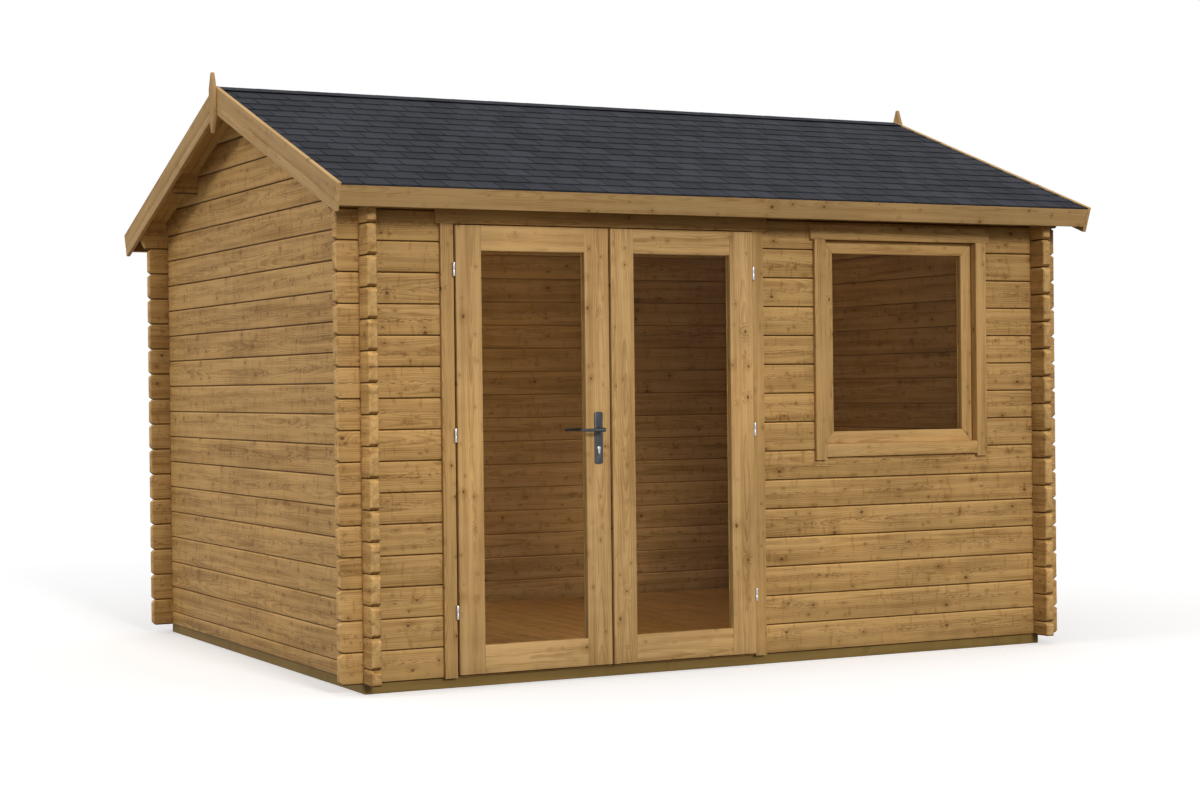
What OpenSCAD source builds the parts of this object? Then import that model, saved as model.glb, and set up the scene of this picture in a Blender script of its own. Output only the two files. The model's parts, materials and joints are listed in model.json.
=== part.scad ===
// Log cabin with a pair of glazed doors, one window and a shallow gable roof.
// Millimetres. X runs along the front, the front faces -Y, Z is up.
// The origin is on the ground, under the middle of the cabin.

/* [Walls] */
// Outside width between the faces of the two side walls
wall_w = 3600; // [3400:10:4600]
// Outside depth between the faces of the front and back walls
wall_d = 2920; // [2400:10:3600]
// Thickness of a wall log
log_t = 44; // [34:1:58]
// Height of one course of logs
log_h = 135; // [125:1:145]
// Courses in the front and back walls, with the plate log
courses = 16; // [16:1:18]
// How far a log end runs past the face of the crossing wall
log_end = 105; // [90:5:150]
// Bevel along the long edges of a log
log_bevel = 6; // [3:0.5:8]
// Slanted cut at the tip of a log end
end_chamfer = 16; // [8:1:24]
// Width of the tongue on top of a log
tongue_w = 14; // [10:1:18]
// Height of the tongue
tongue_h = 10; // [6:1:13]

/* [Base] */
// Height of the ground bearers
bearer_h = 45; // [35:1:70]
// Width of the ground bearers
bearer_w = 70; // [55:1:100]
// How far the bearers stand back from the wall faces
bearer_inset = 10; // [0:1:20]
// Number of floor joists
joists = 5; // [3:1:9]
// Width of a floor joist
joist_w = 45; // [35:1:70]
// Thickness of the floor boards
floor_t = 19; // [16:1:28]

/* [Roof] */
// Slope of the roof in degrees
roof_pitch = 20; // [17:0.5:23]
// Thickness of the roof boards
roof_board_t = 18; // [15:1:24]
// Thickness of the shingle layers
shingle_t = 8; // [5:0.5:10]
// Eave overhang from the wall face, along the level
eave_run = 210; // [190:5:300]
// Gable overhang from the wall face to the outside of the barge boards
gable_run = 170; // [160:5:260]
// Depth of the purlins
purlin_h = 92; // [80:1:110]
// Gable courses below the foot of the log that stops at the side purlins
purlin_course = 2; // [1:1:3]
// Length of the slanted cut under the ends of purlins and plate logs
tail_cut = 32; // [10:1:40]
// Height of that cut
tail_rise = 60; // [15:1:70]
// Height of the fascia boards
fascia_h = 90; // [70:1:110]
// Thickness of the fascia boards
fascia_t = 18; // [15:1:24]
// Width of the barge boards
barge_h = 125; // [100:1:150]
// Thickness of the barge boards
barge_t = 20; // [16:1:25]
// Rise of the barge boards above the fascia
barge_rise = 10; // [9:0.5:16]
// Height of the groove in the barge boards above their lower edge
barge_groove = 44; // [25:1:70]
// Depth of that groove
barge_groove_t = 3; // [1:0.5:5]
// Width of the ridge cap on each slope
cap_w = 70; // [50:5:110]
// Thickness of the ridge cap
cap_t = 4; // [3:0.5:6]
// Height of the gable finials
finial_h = 292; // [200:2:320]
// Width of the gable finials
finial_w = 74; // [50:1:80]
// Thickness of the gable finials
finial_t = 17; // [14:1:22]
// Width of the finials at their tips
finial_tip = 12; // [8:1:30]
// Height of the upper taper of the finials
finial_point = 78; // [40:1:90]
// Height of the lower taper of the finials
finial_foot = 76; // [30:1:80]
// Rise of the finials above the barge boards
finial_rise = 64; // [40:1:80]

/* [Doors] */
// Share of the plain wall that stands left of the doors
door_pier = 0.385; // [0.35:0.005:0.45]
// Width of one door leaf
leaf_w = 742; // [640:2:780]
// Thickness of a door leaf
leaf_t = 42; // [40:1:54]
// How far a leaf stands proud of the casings
leaf_proud = 12; // [8:1:13]
// Gap around the closed leaves
leaf_gap = 6; // [5:0.5:8]
// Gap between the two leaves
meeting_gap = 7; // [6.5:0.5:9]
// Width of the stiles
stile_w = 120; // [90:1:140]
// Height of the top rail
top_rail_h = 110; // [90:1:150]
// Height of the bottom rail
bottom_rail_h = 122; // [90:1:200]
// Width of the cover strip on the meeting stile
strip_w = 24; // [16:1:34]
// Thickness of the cover strip
strip_t = 10; // [6:1:14]
// Thickness of the door jambs
jamb_t = 36; // [30:1:40]
// Thickness of the door head
door_head_t = 54; // [40:1:60]
// Lap of the door stop behind a leaf
stop_lap = 12; // [8:1:20]
// Thickness of the threshold under the leaves
threshold_t = 7; // [5:1:12]
// Distance of the top hinge below the leaf's top
hinge_top = 192; // [140:1:300]
// Height of the middle hinge above the leaf's bottom
hinge_mid = 1039; // [900:1:1150]
// Height of the bottom hinge above the leaf's bottom
hinge_low = 272; // [140:1:320]
// Height of a hinge barrel
barrel_h = 60; // [50:1:90]
// Diameter of a hinge barrel
barrel_d = 14; // [13:0.5:15]
// Diameter of a hinge pin
pin_d = 7; // [6:0.5:8]
// Thickness of the barrel over the pin's end
pin_cover = 3; // [2:0.5:6]
// Diameter of the stems that hold a hinge in the timber
stem_d = 6; // [5:0.5:6.5]
// Length of the stem in the edge of a leaf
leaf_stem = 30; // [20:1:45]

/* [Handle] */
// Height of the lever above the leaf's bottom
lever_z = 1052; // [980:2:1100]
// Reach of the lever from its spindle
lever_reach = 118; // [105:1:140]
// Distance of the lever from the leaf
lever_stand = 58; // [48:1:65]
// Diameter of the lever's neck
neck_d = 20; // [18:0.5:24]
// Diameter of the lever beside its neck
lever_d = 17; // [14:0.5:18]
// Diameter of the lever at its tip
lever_tip_d = 12; // [10:0.5:14]
// Diameter of the spindle
spindle_d = 8; // [7:0.5:10]
// Height of the handle plates
plate_h = 232; // [210:2:260]
// Width of the handle plates
plate_w = 41; // [32:1:50]
// Corner radius of the handle plates
plate_r = 9; // [3:0.5:14]
// Thickness of the handle plates
plate_t = 5; // [3:0.5:8]
// Distance of the middle of the plates below the lever
plate_drop = 36; // [20:1:50]
// Distance of the lock below the lever
lock_drop = 82; // [72:1:90]
// Diameter of the round part of the lock cylinder
lock_d = 17; // [14:0.5:20]
// Width of the lock cylinder below its round part
lock_w = 10; // [8:0.5:12]
// Height of the lock cylinder
lock_h = 33; // [28:1:38]
// How far the lock cylinder stands out of its plates
lock_proud = 2; // [1:0.5:4]

/* [Window] */
// Share of the plain wall that stands right of the window
window_pier = 0.345; // [0.28:0.005:0.37]
// Clear width between the window casings
window_w = 870; // [700:1:880]
// Course that the window stands on
window_course = 7; // [6:1:8]
// Depth of log left over the window
window_head = 49; // [30:1:70]
// Thickness of the window frame's head and jambs
window_frame_t = 36; // [30:1:40]
// Thickness of the window frame's sill
window_sill_t = 28; // [24:1:36]
// Depth of the window sash behind the wall face
sash_depth = 20; // [10:1:24]
// Width of the sash members
sash_w = 58; // [45:1:75]
// Thickness of the sash
sash_t = 40; // [36:1:50]
// Gap around the sash
sash_gap = 4; // [2:0.5:6]

/* [Glass and trim] */
// Thickness of the glass
glass_t = 8; // [4:0.5:10]
// Depth of the glass behind the face of its leaf or sash
glass_inset = 27; // [22:0.5:28]
// Width of the rebate that holds the glass
rebate_w = 12; // [8:1:16]
// Width of the casings round the doors and the window
casing_w = 60; // [50:1:75]
// Thickness of the casings
casing_t = 20; // [18:1:26]
// Height of the head casings
head_casing_h = 70; // [55:1:85]
// How far the head casings run past the side casings
head_casing_end = 20; // [0:1:30]
// Drop of the side casings below the window's bottom casing
casing_drop = 14; // [0:1:25]

/* [Fits] */
// Hairline gap where pieces seat on each other
seat = 0.4; // [0.2:0.1:0.6]
// Clearance beside a log in a notch, and round frames in the walls
fit = 0.5; // [0.3:0.1:0.8]
// Clearance round pins, stems and spindles
pin_fit = 0.2; // [0.1:0.05:0.3]
// Clearance between a hinge barrel and the timber beside it
barrel_fit = 0.5; // [0.3:0.1:1]

/* [Hidden] */
$fn = 48;

// Colours of the pieces
timber = "#b28a55";
pale_timber = "#c09a66";
bearer_timber = "#6e5b37";
shingle_grey = "#45474f";
zinc = "#c8c8c6";
anthracite = "#3a3b3e";
pane = "#9fb3bb";

// Wall faces and courses
half_w = wall_w / 2;
half_d = wall_d / 2;
face_y = -half_d;
log_top = log_h - seat;
quarter = log_h / 4;
plate_course = courses - 1;
head_course = courses - 2;
plate_z = bearer_h + plate_course * log_h;
wall_top_z = plate_z + log_h;
groove_w = tongue_w + 2 * seat;
groove_h = tongue_h + seat;
front_line = -(half_d - log_t / 2);
side_line = half_w - log_t / 2;
cut_reach = 2 * wall_w;

// Roof levels: the underside of the roof passes over the outer edge of the plate logs
slope = tan(roof_pitch);
ridge_z = wall_top_z + half_d * slope;
gable_z = bearer_h + log_h / 2 + plate_course * log_h;
gable_courses = floor((ridge_z - gable_z) / log_h);
barge_in = half_w + gable_run - barge_t;
roof_half = barge_in - seat;
boards_n = seat;
shingles_n = boards_n + roof_board_t + seat;
cap_n = shingles_n + shingle_t + seat;
fascia_top_n = boards_n + roof_board_t;
barge_top_n = fascia_top_n + barge_rise;
eave_s = (half_d + eave_run - barge_top_n * sin(roof_pitch)) / cos(roof_pitch);
purlin_run = (ridge_z - gable_z - purlin_course * log_h) / slope - log_t / 2;
barge_apex_z = ridge_z + barge_top_n / cos(roof_pitch);

// The plain wall is what the doors and the window with their casings leave
casing_reach = casing_w + head_casing_end;
doors_w = 2 * leaf_w + meeting_gap;
plain_wall = wall_w - doors_w - 2 * leaf_gap - window_w - 4 * casing_reach;

// Door places, from the middle of the front
leaf_left = -half_w + door_pier * plain_wall + casing_reach + leaf_gap;
leaf_right = leaf_left + doors_w;
door_mid = (leaf_left + leaf_right) / 2;
jamb_left = leaf_left - leaf_gap;
jamb_right = leaf_right + leaf_gap;
door_cut_left = jamb_left - jamb_t;
door_cut_right = jamb_right + jamb_t;
leaf_bottom = bearer_h + threshold_t + leaf_gap;
door_head_z = plate_z - seat - door_head_t;
leaf_top = door_head_z - leaf_gap;
leaf_h = leaf_top - leaf_bottom;
leaf_front = face_y - casing_t - leaf_proud;
leaf_back = leaf_front + leaf_t;
stop_y = leaf_back + leaf_gap;
barrel_r = barrel_d / 2;
pivot_y = face_y - casing_t - barrel_r - barrel_fit;
pivot_side = barrel_r + 2 * barrel_fit;
hinge_heights = [leaf_bottom + hinge_low, leaf_bottom + hinge_mid, leaf_top - hinge_top];
stem_shift = barrel_r - stem_d / 3;
frame_stem = casing_t - barrel_fit;
leaf_stem_y = pivot_y + barrel_r - stem_d / 2 - barrel_fit;
spindle_x = leaf_left + leaf_w - stile_w / 2;
spindle_z = leaf_bottom + lever_z;
lock_z = spindle_z - lock_drop;
plate_mid_z = spindle_z - plate_drop;

// Window places
window_right = half_w - window_pier * plain_wall - casing_reach;
window_left = window_right - window_w;
window_cut_left = window_left - window_frame_t;
window_cut_right = window_right + window_frame_t;
window_cut_bottom = bearer_h + window_course * log_h;
window_cut_top = plate_z - window_head;
window_bottom = window_cut_bottom + window_sill_t;
window_top = window_cut_top - window_frame_t;
sash_front = face_y + sash_depth;
sash_back = sash_front + sash_t;
window_frame_back = face_y + log_t + casing_t;
glass_back = glass_inset + glass_t;

// Shapes shared by the pieces

// Cross-section of a log without its groove: bevelled edges and a tongue above
function log_section(h) = let (t = log_t / 2, b = log_bevel, k = tongue_w / 2) [
    [-t + b, 0], [t - b, 0], [t, b], [t, h - b], [t - b, h],
    [k, h], [k, h + tongue_h], [-k, h + tongue_h], [-k, h], [-t + b, h], [-t, h - b], [-t, b]
];

// Cross-section of a plate log: its top follows the roof
function plate_section() = let (t = log_t / 2, b = log_bevel, g = groove_w / 2) [
    [-t + b, 0], [-g, 0], [-g, groove_h], [g, groove_h], [g, 0], [t - b, 0], [t, b],
    [t, log_h + log_t * slope], [-t, log_h], [-t, b]
];

// One end of a log's side view, from bottom to top, where it crosses a wall whose face is at reach
function crossing_end(reach) = let (a = reach - log_t - fit, b = reach + fit, tip = reach + log_end,
        c = end_chamfer, top = log_top + tongue_h) [
    [a, 0], [a, quarter], [b, quarter], [b, 0], [tip - c, 0], [tip, c], [tip, log_top - c],
    [tip - c - tongue_h, top], [b, top], [b, log_top - quarter], [a, log_top - quarter], [a, top]
];

// The same for a plate log, which runs on to the barge board and has a slanted tail
function plate_end(reach) = let (a = reach - log_t - fit, b = reach + fit, top = 2 * log_h) [
    [a, 0], [a, quarter], [b, quarter], [b, 0], [roof_half - tail_cut, 0], [roof_half, tail_rise],
    [roof_half, top], [b, top], [b, log_top - quarter], [a, log_top - quarter], [a, top]
];

// A square end beside an opening
function cut_end(reach) = [[reach, 0], [reach, log_top + tongue_h]];

// How far the groove runs: through a square end, but only up to the chamfer of a crossing end
function groove_stop(end) = len(end) == 2 ? cut_reach : max([for (p = end) abs(p[0])]) - end_chamfer;

// The same end at the other side
function other_end(points) = [for (i = [len(points) - 1:-1:0]) [-points[i][0], points[i][1]]];

// A point of the front slope: s down the slope from the ridge, n square to it, as [y, z]
function slope_point(s, n) = [
    -s * cos(roof_pitch) - n * sin(roof_pitch),
    ridge_z - s * sin(roof_pitch) + n * cos(roof_pitch)
];

// Where a layer at n meets the middle of the ridge
function ridge_s(n) = -n * tan(roof_pitch);

// A section in Y and Z, drawn out along X
module along_x(x0, x1, points) {
    translate([x0, 0, 0])
        rotate([90, 0, 90])
            linear_extrude(x1 - x0)
                polygon(points);
}

// A side view in X and Z, drawn out along Y
module along_y(y0, y1, points) {
    translate([0, y1, 0])
        rotate([90, 0, 0])
            linear_extrude(y1 - y0)
                polygon(points);
}

// A box between two corners
module box(a, b) {
    translate(a)
        cube(b - a);
}

// A log along X, standing on z = 0, with the two ends of its side view
module log(right_end, left_end, h = log_top) {
    difference() {
        intersection() {
            along_x(-cut_reach, cut_reach, log_section(h));
            along_y(-log_t, log_t, concat(right_end, left_end));
        }
        box([-groove_stop(left_end), -groove_w / 2, -seat], [groove_stop(right_end), groove_w / 2, groove_h]);
    }
}

// Places a log of the front wall on its course
module front_course(i) {
    translate([0, front_line, bearer_h + i * log_h])
        children();
}

// Places a log of a side wall on its course, half a course above the front wall's
module side_course(side, j) {
    translate([side * side_line, 0, bearer_h + (j + 0.5) * log_h])
        rotate([0, 0, 90])
            children();
}

// A rod along Y from y0 to y1
module rod_y(x, y0, y1, z, d) {
    translate([x, y0, z])
        rotate([-90, 0, 0])
            cylinder(h = y1 - y0, d = d);
}

// A rod along X from x0 to x1
module rod_x(x0, x1, y, z, d) {
    translate([x0, y, z])
        rotate([0, 90, 0])
            cylinder(h = x1 - x0, d = d);
}

// A layer of the front slope, from the ridge down to s
module slope_layer(x0, x1, s, n0, n1) {
    along_x(x0, x1, [
        slope_point(ridge_s(n0), n0), slope_point(s, n0), slope_point(s, n1), slope_point(ridge_s(n1), n1)
    ]);
}

// Base

// One mitred bearer along a side of the given length, its outer edge at -y
module bearer(length, reach) {
    half = length / 2 - seat;
    translate([0, -reach, 0])
        linear_extrude(bearer_h)
            polygon([[-half, 0], [half, 0], [half - bearer_w, bearer_w], [bearer_w - half, bearer_w]]);
}

base_w = wall_w - 2 * bearer_inset;
base_d = wall_d - 2 * bearer_inset;
joist_span = base_d - 2 * bearer_w;

module bearers() {
    color(bearer_timber) {
        bearer(base_w, base_d / 2);
        rotate([0, 0, 180]) bearer(base_w, base_d / 2);
        rotate([0, 0, 90]) bearer(base_d, base_w / 2);
        rotate([0, 0, 270]) bearer(base_d, base_w / 2);
    }
}

module floor_joists() {
    reach = base_w / 2 - bearer_w - seat;
    color(bearer_timber)
        for (i = [1:joists]) {
            y = -joist_span / 2 + i * joist_span / (joists + 1);
            box([-reach, y - joist_w / 2, 0], [reach, y + joist_w / 2, bearer_h]);
        }
}

module floor_boards() {
    x = half_w - log_t - fit;
    y = half_d - log_t - fit;
    color(timber)
        box([-x, -y, bearer_h + seat], [x, y, bearer_h + seat + floor_t]);
}

// Walls

module front_wall_left_logs() {
    color(timber)
        for (i = [0:head_course])
            front_course(i) log(cut_end(door_cut_left), other_end(crossing_end(half_w)));
}

module front_wall_lower_logs() {
    top_log = window_course - 1;
    color(timber)
        for (i = [0:top_log])
            difference() {
                front_course(i) log(crossing_end(half_w), other_end(cut_end(-door_cut_right)));
                if (i == top_log)
                    box([window_cut_left, -half_d, window_cut_bottom - seat], [window_cut_right, 0, plate_z]);
            }
}

module front_wall_middle_logs() {
    color(timber)
        for (i = [window_course:head_course - 1])
            front_course(i) log(cut_end(window_cut_left), other_end(cut_end(-door_cut_right)));
}

module front_wall_right_logs() {
    color(timber)
        for (i = [window_course:head_course - 1])
            front_course(i) log(crossing_end(half_w), other_end(cut_end(-window_cut_right)));
}

module front_window_head_log() {
    color(timber)
        difference() {
            front_course(head_course) log(crossing_end(half_w), other_end(cut_end(-door_cut_right)));
            box([window_cut_left, -wall_d, 0], [window_cut_right, 0, window_cut_top]);
        }
}

module plate_log() {
    intersection() {
        along_x(-cut_reach, cut_reach, plate_section());
        along_y(-log_t, log_t, concat(plate_end(half_w), other_end(plate_end(half_w))));
    }
}

module front_plate_log() {
    color(timber)
        front_course(plate_course) plate_log();
}

module back_plate_log() {
    color(timber)
        mirror([0, 1, 0])
            front_course(plate_course) plate_log();
}

module back_wall_logs() {
    color(timber)
        mirror([0, 1, 0])
            for (i = [0:head_course])
                front_course(i) log(crossing_end(half_w), other_end(crossing_end(half_w)));
}

// A side wall: a half log on the bearer, then full courses up to the plate logs
module side_wall(side) {
    color(timber)
        for (j = [-1:head_course])
            intersection() {
                side_course(side, j) log(crossing_end(half_d), other_end(crossing_end(half_d)));
                box([-wall_w, -wall_d, bearer_h], [wall_w, wall_d, wall_top_z]);
            }
}

module left_wall_logs() {
    side_wall(-1);
}

module right_wall_logs() {
    side_wall(1);
}

// The space under the roof
module under_roof() {
    reach = half_d + log_end + log_t;
    low = ridge_z - reach * slope;
    along_x(-wall_w, wall_w, [[-reach, 0], [reach, 0], [reach, low], [0, ridge_z], [-reach, low]]);
}

// A gable over a side wall: courses that the roof cuts, with slots for the purlins
module gable(side) {
    top_course = plate_course + gable_courses - 1;
    end = crossing_end(half_d);
    color(timber)
        for (j = [plate_course:top_course])
            difference() {
                intersection() {
                    side_course(side, j)
                        log(end, other_end(end), j == top_course ? 2 * log_h : log_top);
                    under_roof();
                }
                for (run = [-purlin_run, 0, purlin_run])
                    purlin_space(run, fit);
            }
}

module left_gable_logs() {
    gable(-1);
}

module right_gable_logs() {
    gable(1);
}

// Roof

// The upright strip that a purlin takes up, with a margin
module purlin_space(run, margin) {
    y = log_t / 2 + margin;
    bottom = ridge_z - abs(run) * slope - purlin_h - margin;
    box([-wall_w, run - y, bottom], [wall_w, run + y, ridge_z + log_h]);
}

// A purlin from barge to barge, its top cut to the roof and its tails slanted
module purlin(run) {
    bottom = ridge_z - abs(run) * slope - purlin_h;
    tail = [[roof_half - tail_cut, bottom], [roof_half, bottom + tail_rise], [roof_half, ridge_z]];
    color(timber)
        intersection() {
            along_y(run - log_t / 2, run + log_t / 2, concat(tail, other_end(tail)));
            under_roof();
        }
}

module ridge_purlin() {
    purlin(0);
}

module front_purlin() {
    purlin(-purlin_run);
}

module back_purlin() {
    purlin(purlin_run);
}

module front_roof_boards() {
    color(timber)
        slope_layer(-roof_half, roof_half, eave_s - fascia_t - seat, boards_n, boards_n + roof_board_t);
}

module back_roof_boards() {
    mirror([0, 1, 0]) front_roof_boards();
}

module front_shingles() {
    color(shingle_grey)
        slope_layer(-roof_half, roof_half, eave_s, shingles_n, shingles_n + shingle_t);
}

module back_shingles() {
    mirror([0, 1, 0]) front_shingles();
}

module ridge_cap() {
    color(shingle_grey)
        for (side = [0, 1])
            mirror([0, side, 0])
                slope_layer(-roof_half, roof_half, cap_w, cap_n, cap_n + cap_t);
}

module front_fascia() {
    s = eave_s - fascia_t;
    n = fascia_top_n - fascia_h;
    color(pale_timber)
        along_x(-roof_half, roof_half, [
            slope_point(s, n), slope_point(eave_s, n),
            slope_point(eave_s, fascia_top_n), slope_point(s, fascia_top_n)
        ]);
}

module back_fascia() {
    mirror([0, 1, 0]) front_fascia();
}

// A V-shaped groove down the front slope, in a face at x
module slope_groove(x, n, depth) {
    half = depth / sqrt(2);
    translate([x, 0, ridge_z])
        rotate([roof_pitch, 0, 0])
            translate([0, 0, n])
                rotate([0, 45, 0])
                    box([-half, -wall_d, -half], [half, wall_d, half]);
}

// The two barge boards of the right gable, which meet in an upright joint under the finial
module barge_boards() {
    low = barge_top_n - barge_h;
    face = barge_in + barge_t;
    color(pale_timber)
        for (slope_side = [0, 1])
            mirror([0, slope_side, 0])
                difference() {
                    slope_layer(barge_in, face, eave_s, low, barge_top_n);
                    box([-wall_w, -seat / 2, 0], [wall_w, wall_d, 2 * ridge_z]);
                    slope_groove(face, low + barge_groove, barge_groove_t);
                }
}

module left_barge_boards() {
    mirror([1, 0, 0]) barge_boards();
}

module right_barge_boards() {
    barge_boards();
}

// A lance-shaped board over the joint of the barge boards
module finials() {
    top = barge_apex_z + finial_rise;
    bottom = top - finial_h;
    half = finial_w / 2;
    tip = finial_tip / 2;
    foot = bottom + finial_foot;
    shoulder = top - finial_point;
    x = barge_in + barge_t + seat;
    outline = [
        [-tip, bottom], [tip, bottom], [half, foot], [half, shoulder],
        [tip, top], [-tip, top], [-half, shoulder], [-half, foot]
    ];
    color(pale_timber)
        for (side = [0, 1])
            mirror([side, 0, 0])
                along_x(x, x + finial_t, outline);
}

// Door frame and casings

// Upright jamb with a rebate and a stop for the leaf, for the left side
module door_jamb(cut, inner) {
    translate([0, 0, bearer_h + threshold_t + seat])
        linear_extrude(door_head_z - bearer_h - threshold_t - 2 * seat)
            polygon([
                [cut + fit, face_y], [inner, face_y], [inner, stop_y],
                [inner + leaf_gap + stop_lap, stop_y], [inner + leaf_gap + stop_lap, face_y + log_t],
                [cut + fit, face_y + log_t]
            ]);
}

// Turns what is made for the left leaf round to the right leaf's side
module right_hand() {
    translate([2 * door_mid, 0, 0])
        mirror([1, 0, 0])
            children();
}

// A strip that stops the leaves, between the stops of the two jambs
module stop_strip(z0, z1) {
    reach = leaf_gap + stop_lap + seat;
    box([jamb_left + reach, stop_y, z0], [jamb_right - reach, face_y + log_t, z1]);
}

module door_frame() {
    sill_top = bearer_h + threshold_t;
    left = door_cut_left + fit;
    right = door_cut_right - fit;
    color(timber) {
        door_jamb(door_cut_left, jamb_left);
        right_hand() door_jamb(door_cut_left, jamb_left);
        box([left, face_y, door_head_z], [right, face_y + log_t, plate_z - seat]);
        stop_strip(leaf_top - stop_lap, door_head_z);
        box([left, face_y, bearer_h + seat], [right, face_y + log_t, sill_top]);
        stop_strip(sill_top, bearer_h + seat + floor_t);
    }
}

// Bores in the left casing for the stems of the hinges
module frame_stem_bores() {
    front = face_y - casing_t;
    for (z = hinge_heights)
        rod_y(leaf_left - pivot_side - stem_shift, front - fit, front + frame_stem + pin_fit,
            z - barrel_h / 4, stem_d + 2 * pin_fit);
}

// One upright casing beside the doorway, for the left side
module door_side_casing(y, z) {
    box([jamb_left - casing_w, y, z], [jamb_left, y + casing_t - seat, door_head_z - seat]);
}

// The casing over the doorway
module door_head_casing(y) {
    top = door_head_z + head_casing_h;
    box([jamb_left - casing_reach, y, door_head_z], [jamb_right + casing_reach, y + casing_t - seat, top]);
}

// The casings of the left side, outside and inside
module door_side_casings() {
    difference() {
        door_side_casing(face_y - casing_t, bearer_h);
        frame_stem_bores();
    }
    door_side_casing(face_y + log_t + seat, bearer_h + floor_t + 2 * seat);
}

module door_casings() {
    color(pale_timber) {
        door_side_casings();
        right_hand() door_side_casings();
        door_head_casing(face_y - casing_t);
        door_head_casing(face_y + log_t + seat);
    }
}

// Doors

// The space that the glass and its beads take up in a frame, open to the back
module glass_space(a, b, y, depth) {
    rebate_low = a - [rebate_w, rebate_w];
    rebate_high = b + [rebate_w, rebate_w];
    back = y + 2 * depth;
    box([a[0], y - depth, a[1]], [b[0], back, b[1]]);
    box([rebate_low[0], y + glass_inset, rebate_low[1]], [rebate_high[0], back, rebate_high[1]]);
}

// Beads behind the glass, seated in the rebate
module glass_beads(a, b, y, depth) {
    lap = rebate_w - seat;
    y0 = y + glass_back + 2 * seat;
    y1 = y + depth;
    for (z = [a[1] - lap, b[1]])
        box([a[0] - lap, y0, z], [b[0] + lap, y1, z + lap]);
    for (x = [a[0] - lap, b[0]])
        box([x, y0, a[1] + seat], [x + lap, y1, b[1] - seat]);
}

// A pane that fits the rebate between two corners of the clear opening
module glass_pane(a, b, y) {
    lap = rebate_w - fit;
    front = y + glass_inset + seat;
    color(pane, 0.4)
        box([a[0] - lap, front, a[1] - lap], [b[0] + lap, front + glass_t, b[1] + lap]);
}

leaf_glass_low = [leaf_left + stile_w, leaf_bottom + bottom_rail_h];
leaf_glass_high = [leaf_left + leaf_w - stile_w, leaf_top - top_rail_h];

// Bores in the hinge stile for the stems of the leaf halves
module leaf_stem_bores() {
    depth = leaf_stem + pin_fit;
    for (z = hinge_heights)
        rod_x(leaf_left - fit, leaf_left + depth, leaf_stem_y, z + barrel_h / 4, stem_d + 2 * pin_fit);
}

// Stiles, rails and glazing beads of a leaf hinged on its left
module leaf_frame() {
    rail_left = leaf_left + stile_w + seat;
    rail_right = leaf_left + leaf_w - stile_w - seat;
    difference() {
        union() {
            for (x = [leaf_left, leaf_left + leaf_w - stile_w])
                box([x, leaf_front, leaf_bottom], [x + stile_w, leaf_back, leaf_top]);
            box([rail_left, leaf_front, leaf_bottom], [rail_right, leaf_back, leaf_bottom + bottom_rail_h]);
            box([rail_left, leaf_front, leaf_top - top_rail_h], [rail_right, leaf_back, leaf_top]);
        }
        glass_space(leaf_glass_low, leaf_glass_high, leaf_front, leaf_t);
        leaf_stem_bores();
    }
    glass_beads(leaf_glass_low, leaf_glass_high, leaf_front, leaf_t);
}

module left_door_frame() {
    color(pale_timber)
        difference() {
            leaf_frame();
            handle_bores(leaf_front - leaf_t, leaf_back + leaf_t);
        }
}

module right_door_frame() {
    x = leaf_right - leaf_w;
    color(pale_timber) {
        right_hand() leaf_frame();
        box([x, leaf_front - strip_t, leaf_bottom], [x + strip_w, leaf_front - seat, leaf_top]);
    }
}

module left_door_glass() {
    glass_pane(leaf_glass_low, leaf_glass_high, leaf_front);
}

module right_door_glass() {
    right_hand() left_door_glass();
}

// Lower half of each hinge, with the pin, held in the casing
module hinge_frame_halves() {
    x = leaf_left - pivot_side;
    for (z = hinge_heights)
        color(zinc) {
            translate([x, pivot_y, z - barrel_h / 2])
                cylinder(h = barrel_h / 2 - seat, d = barrel_d);
            translate([x, pivot_y, z - barrel_h / 4])
                cylinder(h = 3 * barrel_h / 4 - pin_cover - fit, d = pin_d);
            rod_y(x - stem_shift, pivot_y, face_y - casing_t + frame_stem, z - barrel_h / 4, stem_d);
        }
}

// Upper half of each hinge, held in the edge of the leaf
module hinge_leaf_halves() {
    x = leaf_left - pivot_side;
    for (z = hinge_heights)
        color(zinc)
            difference() {
                union() {
                    translate([x, pivot_y, z])
                        cylinder(h = barrel_h / 2, d = barrel_d);
                    rod_x(x, leaf_left + leaf_stem, leaf_stem_y, z + barrel_h / 4, stem_d);
                }
                translate([x, pivot_y, z - barrel_h / 2])
                    cylinder(h = barrel_h - pin_cover, d = pin_d + 2 * pin_fit);
            }
}

module left_hinge_frame_halves() {
    hinge_frame_halves();
}

module left_hinge_leaf_halves() {
    hinge_leaf_halves();
}

module right_hinge_frame_halves() {
    right_hand() hinge_frame_halves();
}

module right_hinge_leaf_halves() {
    right_hand() hinge_leaf_halves();
}

// Handle

// The lock cylinder between y0 and y1, with a margin: a round part with a narrower one below it
module lock_body(y0, y1, margin) {
    low = lock_z - lock_h + lock_d / 2 + lock_w / 2;
    rod_y(spindle_x, y0, y1, lock_z, lock_d + 2 * margin);
    rod_y(spindle_x, y0, y1, low, lock_w + 2 * margin);
    box([spindle_x - lock_w / 2 - margin, y0, low], [spindle_x + lock_w / 2 + margin, y1, lock_z]);
}

// The holes for the spindle and the lock, between y0 and y1
module handle_bores(y0, y1) {
    rod_y(spindle_x, y0, y1, spindle_z, spindle_d + 2 * fit);
    lock_body(y0, y1, pin_fit);
}

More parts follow.
